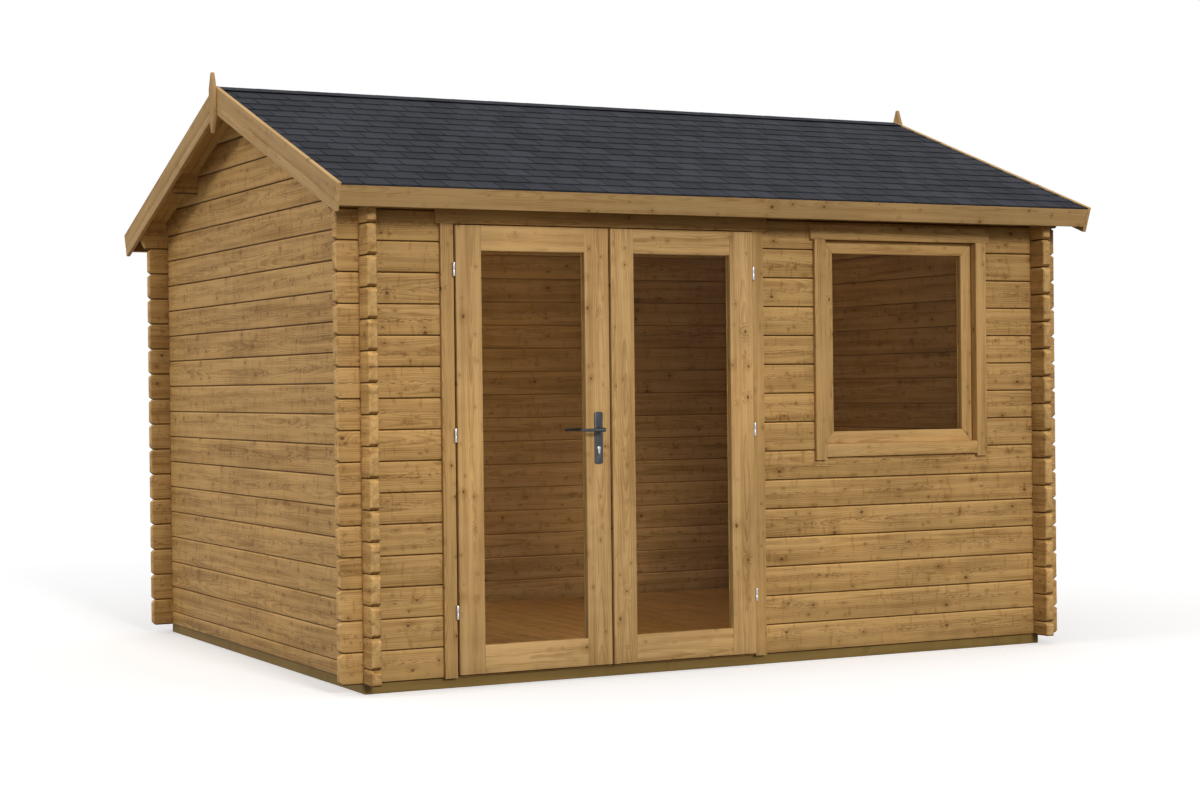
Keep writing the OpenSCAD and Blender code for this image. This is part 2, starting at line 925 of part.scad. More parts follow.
// One handle plate with rounded corners, between y0 and y1
module handle_plate(y0, y1) {
    w = plate_w / 2;
    h = plate_h / 2;
    difference() {
        translate([spindle_x, 0, plate_mid_z]) {
            box([-w, y0, plate_r - h], [w, y1, h - plate_r]);
            box([plate_r - w, y0, -h], [w - plate_r, y1, h]);
            for (x = [plate_r - w, w - plate_r], z = [plate_r - h, h - plate_r])
                rod_y(x, y0, y1, z, 2 * plate_r);
        }
        handle_bores(y0 - plate_t, y1 + plate_t);
    }
}

module handle_plates() {
    color(anthracite) {
        handle_plate(leaf_front - seat - plate_t, leaf_front - seat);
        handle_plate(leaf_back + seat, leaf_back + seat + plate_t);
    }
}

// One lever: a neck square to the leaf and a tapered bar that points away from the meeting edge
module lever_arm(y_plate, y_bar) {
    bar = lever_reach - lever_tip_d / 2;
    rod_y(spindle_x, min(y_plate, y_bar), max(y_plate, y_bar), spindle_z, neck_d);
    translate([spindle_x, y_bar, spindle_z]) {
        sphere(d = neck_d);
        rotate([0, -90, 0]) cylinder(h = bar, d1 = lever_d, d2 = lever_tip_d);
        translate([-bar, 0, 0]) sphere(d = lever_tip_d);
    }
}

module handle_lever() {
    lift = seat + plate_t + fit;
    color(anthracite) {
        lever_arm(leaf_front - lift, leaf_front - lever_stand);
        lever_arm(leaf_back + lift, leaf_back + lever_stand);
        rod_y(spindle_x, leaf_front - lift, leaf_back + lift, spindle_z, spindle_d);
    }
}

module lock_cylinder() {
    reach = seat + plate_t + lock_proud;
    color(zinc)
        lock_body(leaf_front - reach, leaf_back + reach, 0);
}

// Window

module window_frame() {
    y0 = face_y;
    y1 = window_frame_back;
    left = window_cut_left + fit;
    right = window_cut_right - fit;
    color(timber) {
        box([left, y0, window_cut_bottom], [right, y1, window_bottom]);
        box([left, y0, window_top], [right, y1, window_cut_top - fit]);
        for (x = [[left, window_left], [window_right, right]])
            box([x[0], y0, window_bottom + seat], [x[1], y1, window_top - seat]);
    }
}

// The four casings round the window opening, for one face of the wall, clear of the frame's edges
module window_casing_set(y0, y1, clear, clear_below) {
    top = window_bottom - clear_below;
    left = window_left - clear;
    right = window_right + clear;
    head = window_top + clear;
    box([left - casing_reach, y0, head], [right + casing_reach, y1, head + head_casing_h]);
    box([left + seat, y0, top - casing_w], [right - seat, y1, top]);
    for (x = [left - casing_w, right])
        box([x, y0, top - casing_w - casing_drop], [x + casing_w, y1, head - seat]);
}

module window_casings() {
    color(pale_timber) {
        window_casing_set(face_y - casing_t, face_y - seat, 0, 0);
        window_casing_set(face_y + log_t + seat, window_frame_back, window_frame_t, window_sill_t + seat);
    }
}

sash_left = window_left + sash_gap;
sash_right = window_right - sash_gap;
sash_low = window_bottom + seat;
sash_high = window_top - sash_gap;
sash_glass_low = [sash_left + sash_w, sash_low + sash_w];
sash_glass_high = [sash_right - sash_w, sash_high - sash_w];

// One mitred member of the sash, as a side view with its outer edge below
module sash_member(length) {
    half = length / 2 - seat;
    rotate([90, 0, 0])
        translate([0, 0, -sash_back])
            linear_extrude(sash_t)
                polygon([[-half, 0], [half, 0], [half - sash_w, sash_w], [sash_w - half, sash_w]]);
}

module window_sash() {
    mid_x = (sash_left + sash_right) / 2;
    mid_z = (sash_low + sash_high) / 2;
    w = sash_right - sash_left;
    h = sash_high - sash_low;
    color(pale_timber) {
        difference() {
            translate([mid_x, 0, mid_z])
                for (turn = [0:3])
                    rotate([0, turn * 90, 0])
                        translate([0, 0, turn % 2 == 0 ? -h / 2 : -w / 2])
                            sash_member(turn % 2 == 0 ? w : h);
            glass_space(sash_glass_low, sash_glass_high, sash_front, sash_t);
        }
        glass_beads(sash_glass_low, sash_glass_high, sash_front, sash_t);
    }
}

module window_glass() {
    glass_pane(sash_glass_low, sash_glass_high, sash_front);
}

bearers();
floor_joists();
floor_boards();
front_wall_left_logs();
front_wall_lower_logs();
front_wall_middle_logs();
front_wall_right_logs();
front_window_head_log();
front_plate_log();
back_wall_logs();
back_plate_log();
left_wall_logs();
left_gable_logs();
right_wall_logs();
right_gable_logs();
ridge_purlin();
front_purlin();
back_purlin();
front_roof_boards();
back_roof_boards();
front_shingles();
back_shingles();
ridge_cap();
front_fascia();
back_fascia();
left_barge_boards();
right_barge_boards();
finials();
door_frame();
door_casings();
left_door_frame();
left_door_glass();
right_door_frame();
right_door_glass();
left_hinge_frame_halves();
left_hinge_leaf_halves();
right_hinge_frame_halves();
right_hinge_leaf_halves();
handle_plates();
handle_lever();
lock_cylinder();
window_frame();
window_casings();
window_sash();
window_glass();
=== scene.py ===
"""Looks of a log cabin: eased timber with its own grain, shingles, planks, glass, metal and the stage."""

import json
import math
import random

import bmesh
import bpy
from mathutils import Matrix, Vector

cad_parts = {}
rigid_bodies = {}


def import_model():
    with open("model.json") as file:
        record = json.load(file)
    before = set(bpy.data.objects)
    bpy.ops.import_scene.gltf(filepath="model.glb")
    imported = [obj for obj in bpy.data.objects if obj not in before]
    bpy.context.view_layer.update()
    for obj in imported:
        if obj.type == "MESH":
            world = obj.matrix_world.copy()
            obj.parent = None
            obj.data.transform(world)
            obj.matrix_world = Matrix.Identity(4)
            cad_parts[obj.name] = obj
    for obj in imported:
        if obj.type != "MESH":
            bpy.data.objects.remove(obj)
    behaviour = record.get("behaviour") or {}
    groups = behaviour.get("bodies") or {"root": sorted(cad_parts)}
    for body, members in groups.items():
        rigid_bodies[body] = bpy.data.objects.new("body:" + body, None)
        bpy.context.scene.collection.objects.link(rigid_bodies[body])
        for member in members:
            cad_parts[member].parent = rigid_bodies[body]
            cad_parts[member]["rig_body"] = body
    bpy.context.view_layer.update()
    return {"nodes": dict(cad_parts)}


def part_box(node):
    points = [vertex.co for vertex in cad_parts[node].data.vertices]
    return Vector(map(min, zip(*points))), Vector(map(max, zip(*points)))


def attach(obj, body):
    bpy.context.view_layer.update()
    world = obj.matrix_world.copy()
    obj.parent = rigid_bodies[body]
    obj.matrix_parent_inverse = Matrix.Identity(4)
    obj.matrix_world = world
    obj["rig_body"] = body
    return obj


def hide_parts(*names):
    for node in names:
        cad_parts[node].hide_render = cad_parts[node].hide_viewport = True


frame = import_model()

bl_info = {
    "name": "Log cabin",
    "version": (1, 0, 0),
    "blender": (4, 5, 0),
    "location": "View3D > Sidebar > Cabin",
    "description": "Finishes a log cabin: timber, shingles, planks, glass, metal and a plain stage",
    "category": "Object",
}

# The nodes that take each kind of timber
WALL_LOGS = (
    "front_wall_left_logs", "front_wall_lower_logs", "front_wall_middle_logs", "front_wall_right_logs",
    "front_window_head_log", "front_plate_log", "back_wall_logs", "back_plate_log",
    "left_wall_logs", "left_gable_logs", "right_wall_logs", "right_gable_logs",
    "ridge_purlin", "front_purlin", "back_purlin",
)
BASE_TIMBERS = ("bearers", "floor_joists")
ROOF_TRIM = ("front_fascia", "back_fascia", "left_barge_boards", "right_barge_boards", "finials")
JOINERY = ("door_frame", "door_casings", "window_frame", "window_casings", "window_sash")
LEAVES = ("left_door_frame", "right_door_frame")
PANES = ("left_door_glass", "right_door_glass", "window_glass")
HINGES = (
    "left_hinge_frame_halves", "left_hinge_leaf_halves",
    "right_hinge_frame_halves", "right_hinge_leaf_halves",
)

# The roof plane: its local X runs along the ridge, Y up the slope and Z square to it
RIDGE_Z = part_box("ridge_purlin")[1].z
ROOF_FACE = max(frame["nodes"]["front_shingles"].data.polygons, key=lambda face: face.area * face.normal.z)
PITCH = math.atan2(-ROOF_FACE.normal.y, ROOF_FACE.normal.z)
FRONT_SLOPE = Matrix.Translation((0, 0, RIDGE_Z)) @ Matrix.Rotation(PITCH, 4, "X")
HALF_TURN = Matrix.Rotation(math.pi, 4, "Z")

# Half the width and depth of the room between the log faces
ROOM = (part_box("right_wall_logs")[0].x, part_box("back_wall_logs")[0].y)

# The ways that a board's grain may run, and how far along it a board may be cut
GRAIN_WAYS = (
    Vector((1, 0, 0)),
    Vector((0, 1, 0)),
    Vector((0, 0, 1)),
    Vector((0, math.cos(PITCH), math.sin(PITCH))),
    Vector((0, math.cos(PITCH), -math.sin(PITCH))),
)
GRAIN_SHIFT = 40

# Easing: the gap at which corners merge, flat and sharp angles, the shortest upright edge of a log tip,
# the share of its length that an upright edge rises, and the shortest eased edge in easing widths
MERGE_GAP = 1e-5
FLAT_ANGLE = math.radians(0.5)
SHARP_ANGLE = math.radians(32)
TIP_EDGE = 0.045
UPRIGHT_SHARE = 0.99
SHORTEST_IN_WIDTHS = 3

# Depth of the log joints, past which a face lies outside the room
JOINT_DEPTH = 0.012

# Shingles: where the first tab of a row lies, in tabs
FIRST_TAB = 0.3

# Ridge caps: lap in caps, lift over the last cap in thicknesses, and strips of the fold
CAP_LAP = 0.15
CAP_LIFT = 0.4
CAP_STRIPS = 10

# The lamps: where each stands, the way it shines and its softness; then the soft lamp in the room
FRONT_LAMP = ((0, -9, 4), Vector((-0.02, 0.92, -0.34)), math.radians(12))
SIDE_LAMP = ((-9, 1, 4), Vector((0.95, -0.04, -0.34)), math.radians(20))
ROOM_LAMP = (0, 0.2, 1.5)
ROOM_LAMP_RADIUS = 0.5

# The camera's sensor in millimetres, and the white of the stage
SENSOR_WIDTH = 36.0
WHITE = (1.0, 1.0, 1.0, 1.0)


def length_of(name, description, default):
    """A length that a user may change."""
    return bpy.props.FloatProperty(
        name=name, description=description, default=default, min=0.0, unit="LENGTH", precision=4
    )


def colour_of(name, description, default):
    """A colour that a user may change."""
    return bpy.props.FloatVectorProperty(
        name=name, description=description, default=default, size=3, min=0.0, max=1.0, subtype="COLOR"
    )


class CabinSizes(bpy.types.PropertyGroup):
    """Sizes of the easing and of what is laid on the cabin"""

    log_easing: length_of("Log easing", "Width of the eased edges of the logs", 0.0015)
    tip_easing: length_of("Tip easing", "Width of the eased upright edges at the tips of the logs", 0.006)
    board_easing: length_of("Board easing", "Width of the eased edges of boards and joinery", 0.002)
    metal_easing: length_of("Metal easing", "Width of the eased edges of hinges and plates", 0.0012)
    tab_width: length_of("Tab width", "Spacing of the shingle tabs along a row", 0.126)
    tab_gap: length_of("Tab gap", "Slot between two tabs", 0.006)
    tab_stray: length_of("Tab stray", "How far a tab may lie beside its line", 0.0009)
    row_height: length_of("Row height", "Part of a shingle row that shows", 0.12)
    row_lap: length_of("Row lap", "Part of a shingle row under the next one", 0.025)
    butt: length_of("Butt", "Thickness of a tab at its lower edge", 0.0046)
    felt: length_of("Felt", "Thickness of the felt under the shingles", 0.002)
    granule: length_of("Granule", "Width of a mineral granule on the shingles", 0.0016)
    cap_length: length_of("Cap length", "Part of a ridge cap that shows", 0.205)
    cap_fold: length_of("Cap fold", "Half the width of the round fold along a ridge cap", 0.012)
    roof_plank: length_of("Roof plank", "Width of a roof plank", 0.112)
    floor_plank: length_of("Floor plank", "Width of a floor plank", 0.114)
    plank_bevel: length_of("Plank bevel", "Bevel along the edges of a plank", 0.0035)
    plank_gap: length_of("Plank gap", "Open joint between two planks", 0.002)
    damp_height: length_of("Damp height", "How far damp climbs from the ground", 0.14)


class CabinColours(bpy.types.PropertyGroup):
    """Colours of the cabin's finishes"""

    log_light: colour_of("Log light", "Early wood of the logs", (0.505, 0.306, 0.112))
    log_dark: colour_of("Log dark", "Late wood of the logs", (0.215, 0.106, 0.029))
    board_light: colour_of("Board light", "Early wood of the planks", (0.58, 0.35, 0.122))
    board_dark: colour_of("Board dark", "Late wood of the planks", (0.27, 0.14, 0.038))
    trim_light: colour_of("Trim light", "Early wood of the roof trim", (0.425, 0.27, 0.116))
    trim_dark: colour_of("Trim dark", "Late wood of the roof trim", (0.245, 0.134, 0.044))
    joinery_light: colour_of("Joinery light", "Early wood of frames and casings", (0.505, 0.308, 0.118))
    joinery_dark: colour_of("Joinery dark", "Late wood of frames and casings", (0.265, 0.138, 0.042))
    leaf_light: colour_of("Leaf light", "Early wood of the door leaves", (0.58, 0.364, 0.15))
    leaf_dark: colour_of("Leaf dark", "Late wood of the door leaves", (0.305, 0.163, 0.052))
    bearer_light: colour_of("Bearer light", "Early wood of the treated base", (0.3, 0.195, 0.06))
    bearer_dark: colour_of("Bearer dark", "Late wood of the treated base", (0.15, 0.09, 0.024))
    knot: colour_of("Knot", "Heart of the knots", (0.1, 0.04, 0.011))
    shingle_light: colour_of("Shingle light", "Pale granules of the shingles", (0.045, 0.047, 0.058))
    shingle_dark: colour_of("Shingle dark", "Dark granules of the shingles", (0.0155, 0.0165, 0.021))
    zinc: colour_of("Zinc", "Plated steel of the hinges and the lock", (0.5, 0.49, 0.47))
    anthracite: colour_of("Anthracite", "Coated steel of the handle", (0.042, 0.044, 0.049))
    glass: colour_of("Glass", "Tint of the panes", (0.98, 0.98, 0.95))
    glass_shade: colour_of("Glass shade", "Lamp light that the panes let through", (0.18, 0.15, 0.1))
    floor: colour_of("Floor", "Pale floor of the stage", (0.96, 0.96, 0.96))
    ground: colour_of("Ground", "Colour of the light that the floor throws back", (0.12, 0.095, 0.055))
    reflector: colour_of("Reflector", "The same on the left of the cabin", (0.46, 0.42, 0.34))
    room_light: colour_of("Room light", "Colour of the soft lamp in the room", (1.0, 0.8, 0.4))


class CabinStage(bpy.types.PropertyGroup):
    """Camera, light and floor of the stage"""

    lens: bpy.props.FloatProperty(
        name="Lens", description="Focal length of the camera", default=66.69, unit="CAMERA"
    )
    place: bpy.props.FloatVectorProperty(
        name="Place", description="Where the camera stands", default=(-5.185, -10.344, 1.299), unit="LENGTH"
    )
    yaw: bpy.props.FloatProperty(
        name="Yaw", description="Turn of the view to the right", default=math.radians(27.01), subtype="ANGLE"
    )
    tilt: bpy.props.FloatProperty(
        name="Tilt", description="Rise of the view", default=math.radians(-0.39), subtype="ANGLE"
    )
    roll: bpy.props.FloatProperty(
        name="Roll", description="Turn of the camera about its view", subtype="ANGLE",
        default=math.radians(-0.64),
    )
    sky: bpy.props.FloatProperty(
        name="Sky", description="Strength of the light from all round", default=0.62, min=0.0
    )
    front_key: bpy.props.FloatProperty(
        name="Front key", description="Strength of the lamp from the front", default=1.65, min=0.0
    )
    side_key: bpy.props.FloatProperty(
        name="Side key", description="Strength of the lamp from the left", default=0.9, min=0.0
    )
    room: bpy.props.FloatProperty(
        name="Room", description="Power of the soft lamp in the room", default=9.0, min=0.0, unit="POWER"
    )
    floor_glow: bpy.props.FloatProperty(
        name="Floor glow", description="White that the camera sees on the floor beside its light",
        default=0.28,
    )
    floor_size: length_of("Floor size", "Width of the floor", 90.0)
    floor_clear: length_of("Floor clear", "Distance at which the floor starts to fade to white", 3.2)
    floor_fade: length_of("Floor fade", "Distance at which the floor is white", 9.0)
    reflector_near: length_of("Reflector near", "How far left the reflector on the floor starts", 2.0)
    reflector_full: length_of("Reflector full", "How far left it has its full colour", 2.6)


# Steps of the modelling

def deselect():
    """Nothing stays selected."""
    bpy.ops.object.select_all(action="DESELECT")


def pick(piece):
    """Only this piece is selected and active."""
    deselect()
    piece.select_set(True)
    bpy.context.view_layer.objects.active = piece


def edit(piece):
    """Opens a piece in edit mode with all of it selected."""
    pick(piece)
    bpy.ops.object.mode_set(mode="EDIT")
    bpy.ops.mesh.select_all(action="SELECT")


def leave_edit():
    """Closes edit mode."""
    bpy.ops.object.mode_set(mode="OBJECT")


def select_parts(piece, kind, test):
    """In edit mode, selects the vertices, edges or faces whose corners all pass a test."""
    bpy.ops.mesh.select_mode(type=kind)
    bpy.ops.mesh.select_all(action="DESELECT")
    shape = bmesh.from_edit_mesh(piece.data)
    parts = {"VERT": shape.verts, "EDGE": shape.edges, "FACE": shape.faces}[kind]
    for part in parts:
        corners = [part] if kind == "VERT" else part.verts
        if all(test(corner.co) for corner in corners):
            part.select_set(True)
    shape.select_flush_mode()
    bmesh.update_edit_mesh(piece.data)


def use_modifier(piece, kind, **settings):
    """Adds a modifier to a piece, sets it and applies it."""
    pick(piece)
    bpy.ops.object.modifier_add(type=kind)
    modifier = piece.modifiers[-1]
    for name, value in settings.items():
        setattr(modifier, name, value)
    bpy.ops.object.modifier_apply(modifier=modifier.name)


def place(piece, matrix):
    """Puts a piece at a place and keeps that place in its mesh."""
    pick(piece)
    piece.matrix_world = matrix
    bpy.ops.object.transform_apply(location=True, rotation=True, scale=True)


def new_block(name, size, centre):
    """A block of a given size, open in edit mode for shaping."""
    deselect()
    bpy.ops.mesh.primitive_cube_add(size=1, location=centre, scale=size)
    bpy.ops.object.transform_apply(location=True, rotation=True, scale=True)
    block = bpy.context.object
    block.name = name
    edit(block)
    return block


def copies(pattern, places, name):
    """One piece made of copies of a pattern, each at its own place; the pattern goes."""
    shape = bmesh.new()
    for matrix in places:
        first = len(shape.verts)
        shape.from_mesh(pattern.data)
        shape.verts.ensure_lookup_table()
        bmesh.ops.transform(shape, matrix=matrix, verts=shape.verts[first:])
    mesh = bpy.data.meshes.new(name)
    shape.to_mesh(mesh)
    shape.free()
    piece = bpy.data.objects.new(name, mesh)
    bpy.context.scene.collection.objects.link(piece)
    bpy.data.objects.remove(pattern)
    return piece


def in_line(low, high, spacing):
    """The step and the places of pieces side by side from low to high along X, at about a spacing."""
    count = round((high.x - low.x) / spacing)
    step = (high.x - low.x) / count
    return step, [Matrix.Translation((low.x + (i + 0.5) * step, 0, 0)) for i in range(count)]


def trim_ends(piece, low, high):
    """Cuts off what lies past either end along X and closes the cuts."""
    for end, outward in ((high.x, 1), (low.x, -1)):
        edit(piece)
        bpy.ops.mesh.bisect(
            plane_co=(end, 0, 0), plane_no=(outward, 0, 0), use_fill=True, clear_outer=True
        )
        leave_edit()


def boards_of(mesh):
    """The separate boards of a mesh, as lists of vertex numbers."""
    shape = bmesh.new()
    shape.from_mesh(mesh)
    seen = set()
    found = []
    for start in shape.verts:
        if start in seen:
            continue
        seen.add(start)
        waiting = [start]
        board = []
        while waiting:
            corner = waiting.pop()
            board.append(corner.index)
            for side in corner.link_edges:
                other = side.other_vert(corner)
                if other not in seen:
                    seen.add(other)
                    waiting.append(other)
        found.append(board)
    shape.free()
    return found


def spread(points, way):
    """Lowest and highest place of points along a way."""
    places = [point.dot(way) for point in points]
    return min(places), max(places)


def lay_grain(piece, seed):
    """Writes each point's place in its board, how far it is from the ends and the foot, and the lot."""
    mesh = piece.data
    chance = random.Random(seed)
    mesh.attributes.new("board", "FLOAT_VECTOR", "POINT")
    mesh.attributes.new("ends", "FLOAT_VECTOR", "POINT")
    mesh.attributes.new("lot", "FLOAT", "POINT")
    board_place = mesh.attributes["board"].data
    end_place = mesh.attributes["ends"].data
    lot = mesh.attributes["lot"].data
    for board in boards_of(mesh):
        points = [mesh.vertices[index].co for index in board]
        reach = [spread(points, way) for way in GRAIN_WAYS]
        longest = max(range(len(GRAIN_WAYS)), key=lambda i: reach[i][1] - reach[i][0])
        along = GRAIN_WAYS[longest]
        side = Vector((0, 1, 0)) if longest == 0 else Vector((1, 0, 0))
        ways = [side, along.cross(side)]
        ways.sort(key=lambda way: spread(points, way)[0] - spread(points, way)[1])
        middles = [sum(spread(points, way)) / 2 for way in ways]
        foot = min(point.z for point in points)
        shift = chance.uniform(0, GRAIN_SHIFT)
        number = chance.random()
        for index, point in zip(board, points):
            across = [point.dot(way) - middle for way, middle in zip(ways, middles)]
            run = point.dot(along)
            board_place[index].vector = (run + shift, across[0], across[1])
            end_place[index].vector = (run - reach[longest][0], reach[longest][1] - run, point.z - foot)
            lot[index].value = number


def give_lots(piece, seed, stray=0.0):
    """Gives each separate tab of a piece its own lot, and a small stray from its line."""
    mesh = piece.data
    chance = random.Random(seed)
    lot = mesh.attributes.new("lot", "FLOAT", "POINT")
    for tab in boards_of(mesh):
        number = chance.random()
        move = Vector((chance.uniform(-stray, stray), chance.uniform(-stray, stray), 0))
        for index in tab:
            lot.data[index].value = number
            mesh.vertices[index].co += move


def smooth(piece):
    """Smooth shading between faces that meet at a small angle."""
    pick(piece)
    bpy.ops.object.shade_smooth_by_angle(angle=SHARP_ANGLE)


def finish_piece(piece, material, body):
    """Gives a piece its material and the body that it rides on."""
    piece.data.materials.clear()
    piece.data.materials.append(material)
    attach(piece, body)


def mark_edges(piece, shortest, level_share):
    """Marks the sharp outer edges to ease: the long upright ones fully, the others by a share."""
    edit(piece)
    shape = bmesh.from_edit_mesh(piece.data)
    weight = shape.edges.layers.float.new("bevel_weight_edge")
    for side in shape.edges:
        reach = side.calc_length()
        if side.is_convex and reach > shortest and side.calc_face_angle() > SHARP_ANGLE:
            rise = abs(side.verts[0].co.z - side.verts[1].co.z)
            side[weight] = 1.0 if rise > max(TIP_EDGE, UPRIGHT_SHARE * reach) else level_share
    bmesh.update_edit_mesh(piece.data)
    leave_edit()


def eased(node, width, segments=1, shortest=0.0, level_share=1.0):
    """A copy of a node with merged corners and eased edges, which stands for it."""
    source = frame["nodes"][node]
    piece = bpy.data.objects.new(node + "_finished", source.data.copy())
    bpy.context.scene.collection.objects.link(piece)
    edit(piece)
    bpy.ops.mesh.remove_doubles(threshold=MERGE_GAP)
    bpy.ops.mesh.dissolve_limited(angle_limit=FLAT_ANGLE)
    leave_edit()
    bpy.ops.mesh.customdata_custom_splitnormals_clear()
    mark_edges(piece, shortest, level_share)
    use_modifier(
        piece, "BEVEL", width=width, segments=segments, limit_method="WEIGHT", use_clamp_overlap=False
    )
    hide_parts(node)
    return piece


def finish_timber(nodes, width, material, segments=1, level_share=1.0):
    """Eases the edges of timber nodes and lays their grain."""
    for node in nodes:
        shortest = SHORTEST_IN_WIDTHS * width * level_share
        piece = eased(node, width, segments, shortest, level_share)
        lay_grain(piece, node)
        smooth(piece)
        finish_piece(piece, material, frame["nodes"][node]["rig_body"])


def slope_box(node):
    """Lowest and highest corner of a roof layer in the front slope's own frame."""
    back = FRONT_SLOPE.inverted()
    points = [back @ corner.co for corner in frame["nodes"][node].data.vertices]
    low = Vector(min(point[i] for point in points) for i in range(3))
    high = Vector(max(point[i] for point in points) for i in range(3))
    return low, high


def on_both_slopes(piece, names, nodes, material):
    """Puts a layer made flat on the front slope, and a copy on the back slope."""
    place(piece, FRONT_SLOPE)
    piece.name = names[0]
    bpy.ops.object.duplicate()
    twin = bpy.context.object
    twin.name = names[1]
    place(twin, HALF_TURN)
    for layer, node in ((piece, nodes[0]), (twin, nodes[1])):
        smooth(layer)
        finish_piece(layer, material, "cabin")
        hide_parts(node)


# Building of node trees

class Tree:
    """Adds nodes to a material or a group and joins them."""

    def __init__(self, tree):
        self.tree = tree

    def add(self, kind, inputs=None, **settings):
        """A node with its settings and inputs."""
        node = self.tree.nodes.new(kind)
        for name, value in settings.items():
            setattr(node, name, value)
        self.fill(node, inputs or {})
        return node

    def fill(self, node, inputs):
        """Gives inputs of a node their values or joins them to other nodes' outputs."""
        for name, value in inputs.items():
            if isinstance(value, bpy.types.NodeSocket):
                self.tree.links.new(value, node.inputs[name])
            else:
                node.inputs[name].default_value = value

    def math(self, operation, *values):
        """A sum on single values."""
        node = self.add("ShaderNodeMath", dict(enumerate(values)), operation=operation)
        return node.outputs[0]

    def vector(self, operation, *values):
        """A sum on vectors."""
        node = self.add("ShaderNodeVectorMath", dict(enumerate(values)), operation=operation)
        return node.outputs["Value" if operation == "LENGTH" else "Vector"]

    def parts(self, value):
        """The three numbers of a vector or a colour."""
        return self.add("ShaderNodeSeparateXYZ", {0: value}).outputs

    def join(self, x, y, z):
        """A vector of three numbers."""
        return self.add("ShaderNodeCombineXYZ", {0: x, 1: y, 2: z}).outputs[0]

    def attribute(self, name, output):
        """What a piece stores for its points under a name."""
        return self.add("ShaderNodeAttribute", attribute_name=name).outputs[output]

    def point(self):
        """Where a point lies on the object."""
        return self.add("ShaderNodeTexCoord").outputs["Object"]

    def noise(self, point, stretch, detail):
        """Soft noise from 0 to 1, the finer the larger the stretch."""
        inputs = {"Vector": self.vector("MULTIPLY", point, stretch), "Scale": 1.0, "Detail": detail}
        return self.add("ShaderNodeTexNoise", inputs).outputs["Fac"]

    def ramp(self, value, low, high):
        """0 at low, 1 at high, with a soft start and end."""
        inputs = {"Value": value, "From Min": low, "From Max": high}
        return self.add("ShaderNodeMapRange", inputs, interpolation_type="SMOOTHSTEP").outputs["Result"]

    def clamp(self, value):
        """A value kept between 0 and 1."""
        return self.math("MINIMUM", self.math("MAXIMUM", value, 0.0), 1.0)

    def mix(self, share, first, second, blend="MIX"):
        """A colour between two colours."""
        node = self.add("ShaderNodeMix", {0: share, 6: first, 7: second}, data_type="RGBA", blend_type=blend)
        return node.outputs[2]

    def tint(self, share, colour, tint):
        """A colour that takes on a share of a tint."""
        tinted = self.mix(1.0, colour, opaque(tint), "MULTIPLY")
        return self.mix(share, colour, tinted)

    def total(self, start, *terms):
        """A start value and (weight, value) pairs summed up, each value counted from its middle."""
        for weight, value in terms:
            centred = self.math("SUBTRACT", value, 0.5)
            start = self.math("MULTIPLY_ADD", centred, weight, start)
        return start

    def blend(self, share, first, second):
        """A shader between two shaders."""
        return self.add("ShaderNodeMixShader", {0: share, 1: first, 2: second}).outputs["Shader"]

    def show(self, shader):
        """Makes a shader the surface of the material."""
        self.fill(self.tree.nodes["Material Output"], {"Surface": shader})


def opaque(colour):
    """A colour with full alpha, as sockets take it."""
    return (*colour, 1.0)


def new_group(name, inputs, outputs):
    """An empty shader group with its sockets; returns its tree, inputs and output node."""
    group = bpy.data.node_groups.new(name, "ShaderNodeTree")
    for socket, kind in inputs:
        group.interface.new_socket(name=socket, in_out="INPUT", socket_type="NodeSocket" + kind)
    for socket, kind in outputs:
        group.interface.new_socket(name=socket, in_out="OUTPUT", socket_type="NodeSocket" + kind)
    tree = Tree(group)
    return tree, tree.add("NodeGroupInput").outputs, tree.add("NodeGroupOutput")


def placed_group(tree, name, inputs):
    """A group placed in a material with its own values."""
    return tree.add("ShaderNodeGroup", inputs, node_tree=bpy.data.node_groups[name]).outputs


# Noises of the timber: stretch along, across and through a board, and detail
GRAIN_NOISES = {
    "wave": ((5.0, 26.0, 26.0), 2.0),
    "fibre": ((6.0, 330.0, 330.0), 2.0),
    "streak": ((1.5, 34.0, 34.0), 3.0),
    "band": ((13.0, 2.5, 2.5), 1.0),
    "cloud": ((1.6, 9.0, 9.0), 2.0),
    "tick": ((48.0, 13.0, 13.0), 1.0),
    "dash": ((42.0, 270.0, 60.0), 1.0),
    "stretch": ((2.6, 3.0, 3.0), 1.0),
}

# Knots: the cell that holds one, its shape, its radius, and the edges of knot and halo in radii
KNOT_CELL = (0.15, 0.062, 0.248)
KNOT_SHAPE = (0.1125, 0.062, 0.062 / 7)
KNOT_RADIUS = 0.003
KNOT_GROWTH = 0.006
KNOT_RARITY = 4.0
KNOT_EDGE = (1.15, 0.55)
HALO_EDGE = (5.0, 0.8)

# Rings: where the pith may lie across and through a board, how it sways, and what bends the rings
PITH_START = (-0.05, 0.028)
PITH_SPREAD = (0.1, 0.05)
PITH_SWAY = (0.05, 0.09)
PITH_STRETCH = (0.8, 60.0, 0.0)
RING_WAVE = 0.009
RING_PUSH = 0.012
LATE_START = 0.25
LATE_FULL = 0.86
HEART_SWAY = 0.08
HEART_EDGE = (0.02, 0.003)

# Tone of the timber from early wood, 0, to late wood, 1
TONE_START = 0.36
TONE_MIDDLE = 0.4
HALO_TONE = 0.3

# Marks on the timber and painted shade in the joints: from where to where they set in, their tints and
# strengths
TICK_EDGE = (0.62, 0.72)
TICK_TINT = (0.66, 0.53, 0.38)
TICK_STRENGTH = 0.7
DASH_EDGE = (0.55, 0.62)
STRETCH_EDGE = (0.36, 0.56)
KNOT_STRENGTH = 0.85
SAWN_EDGE = (0.004, 0.001)
SAWN_TINT = (1.15, 1.18, 1.26)
# Painted shade in the joint along the lower edge of a log: from where to where it sets in, and its tint
JOINT_SHADE_EDGE = (0.0075, 0.0045)
JOINT_SHADE_TINT = (0.3, 0.26, 0.2)
TIMBER_ROUGHNESS = 0.62
KNOT_POLISH = -0.14
KNOT_DEPTH = -0.5
CHECK_DEPTH = -0.6


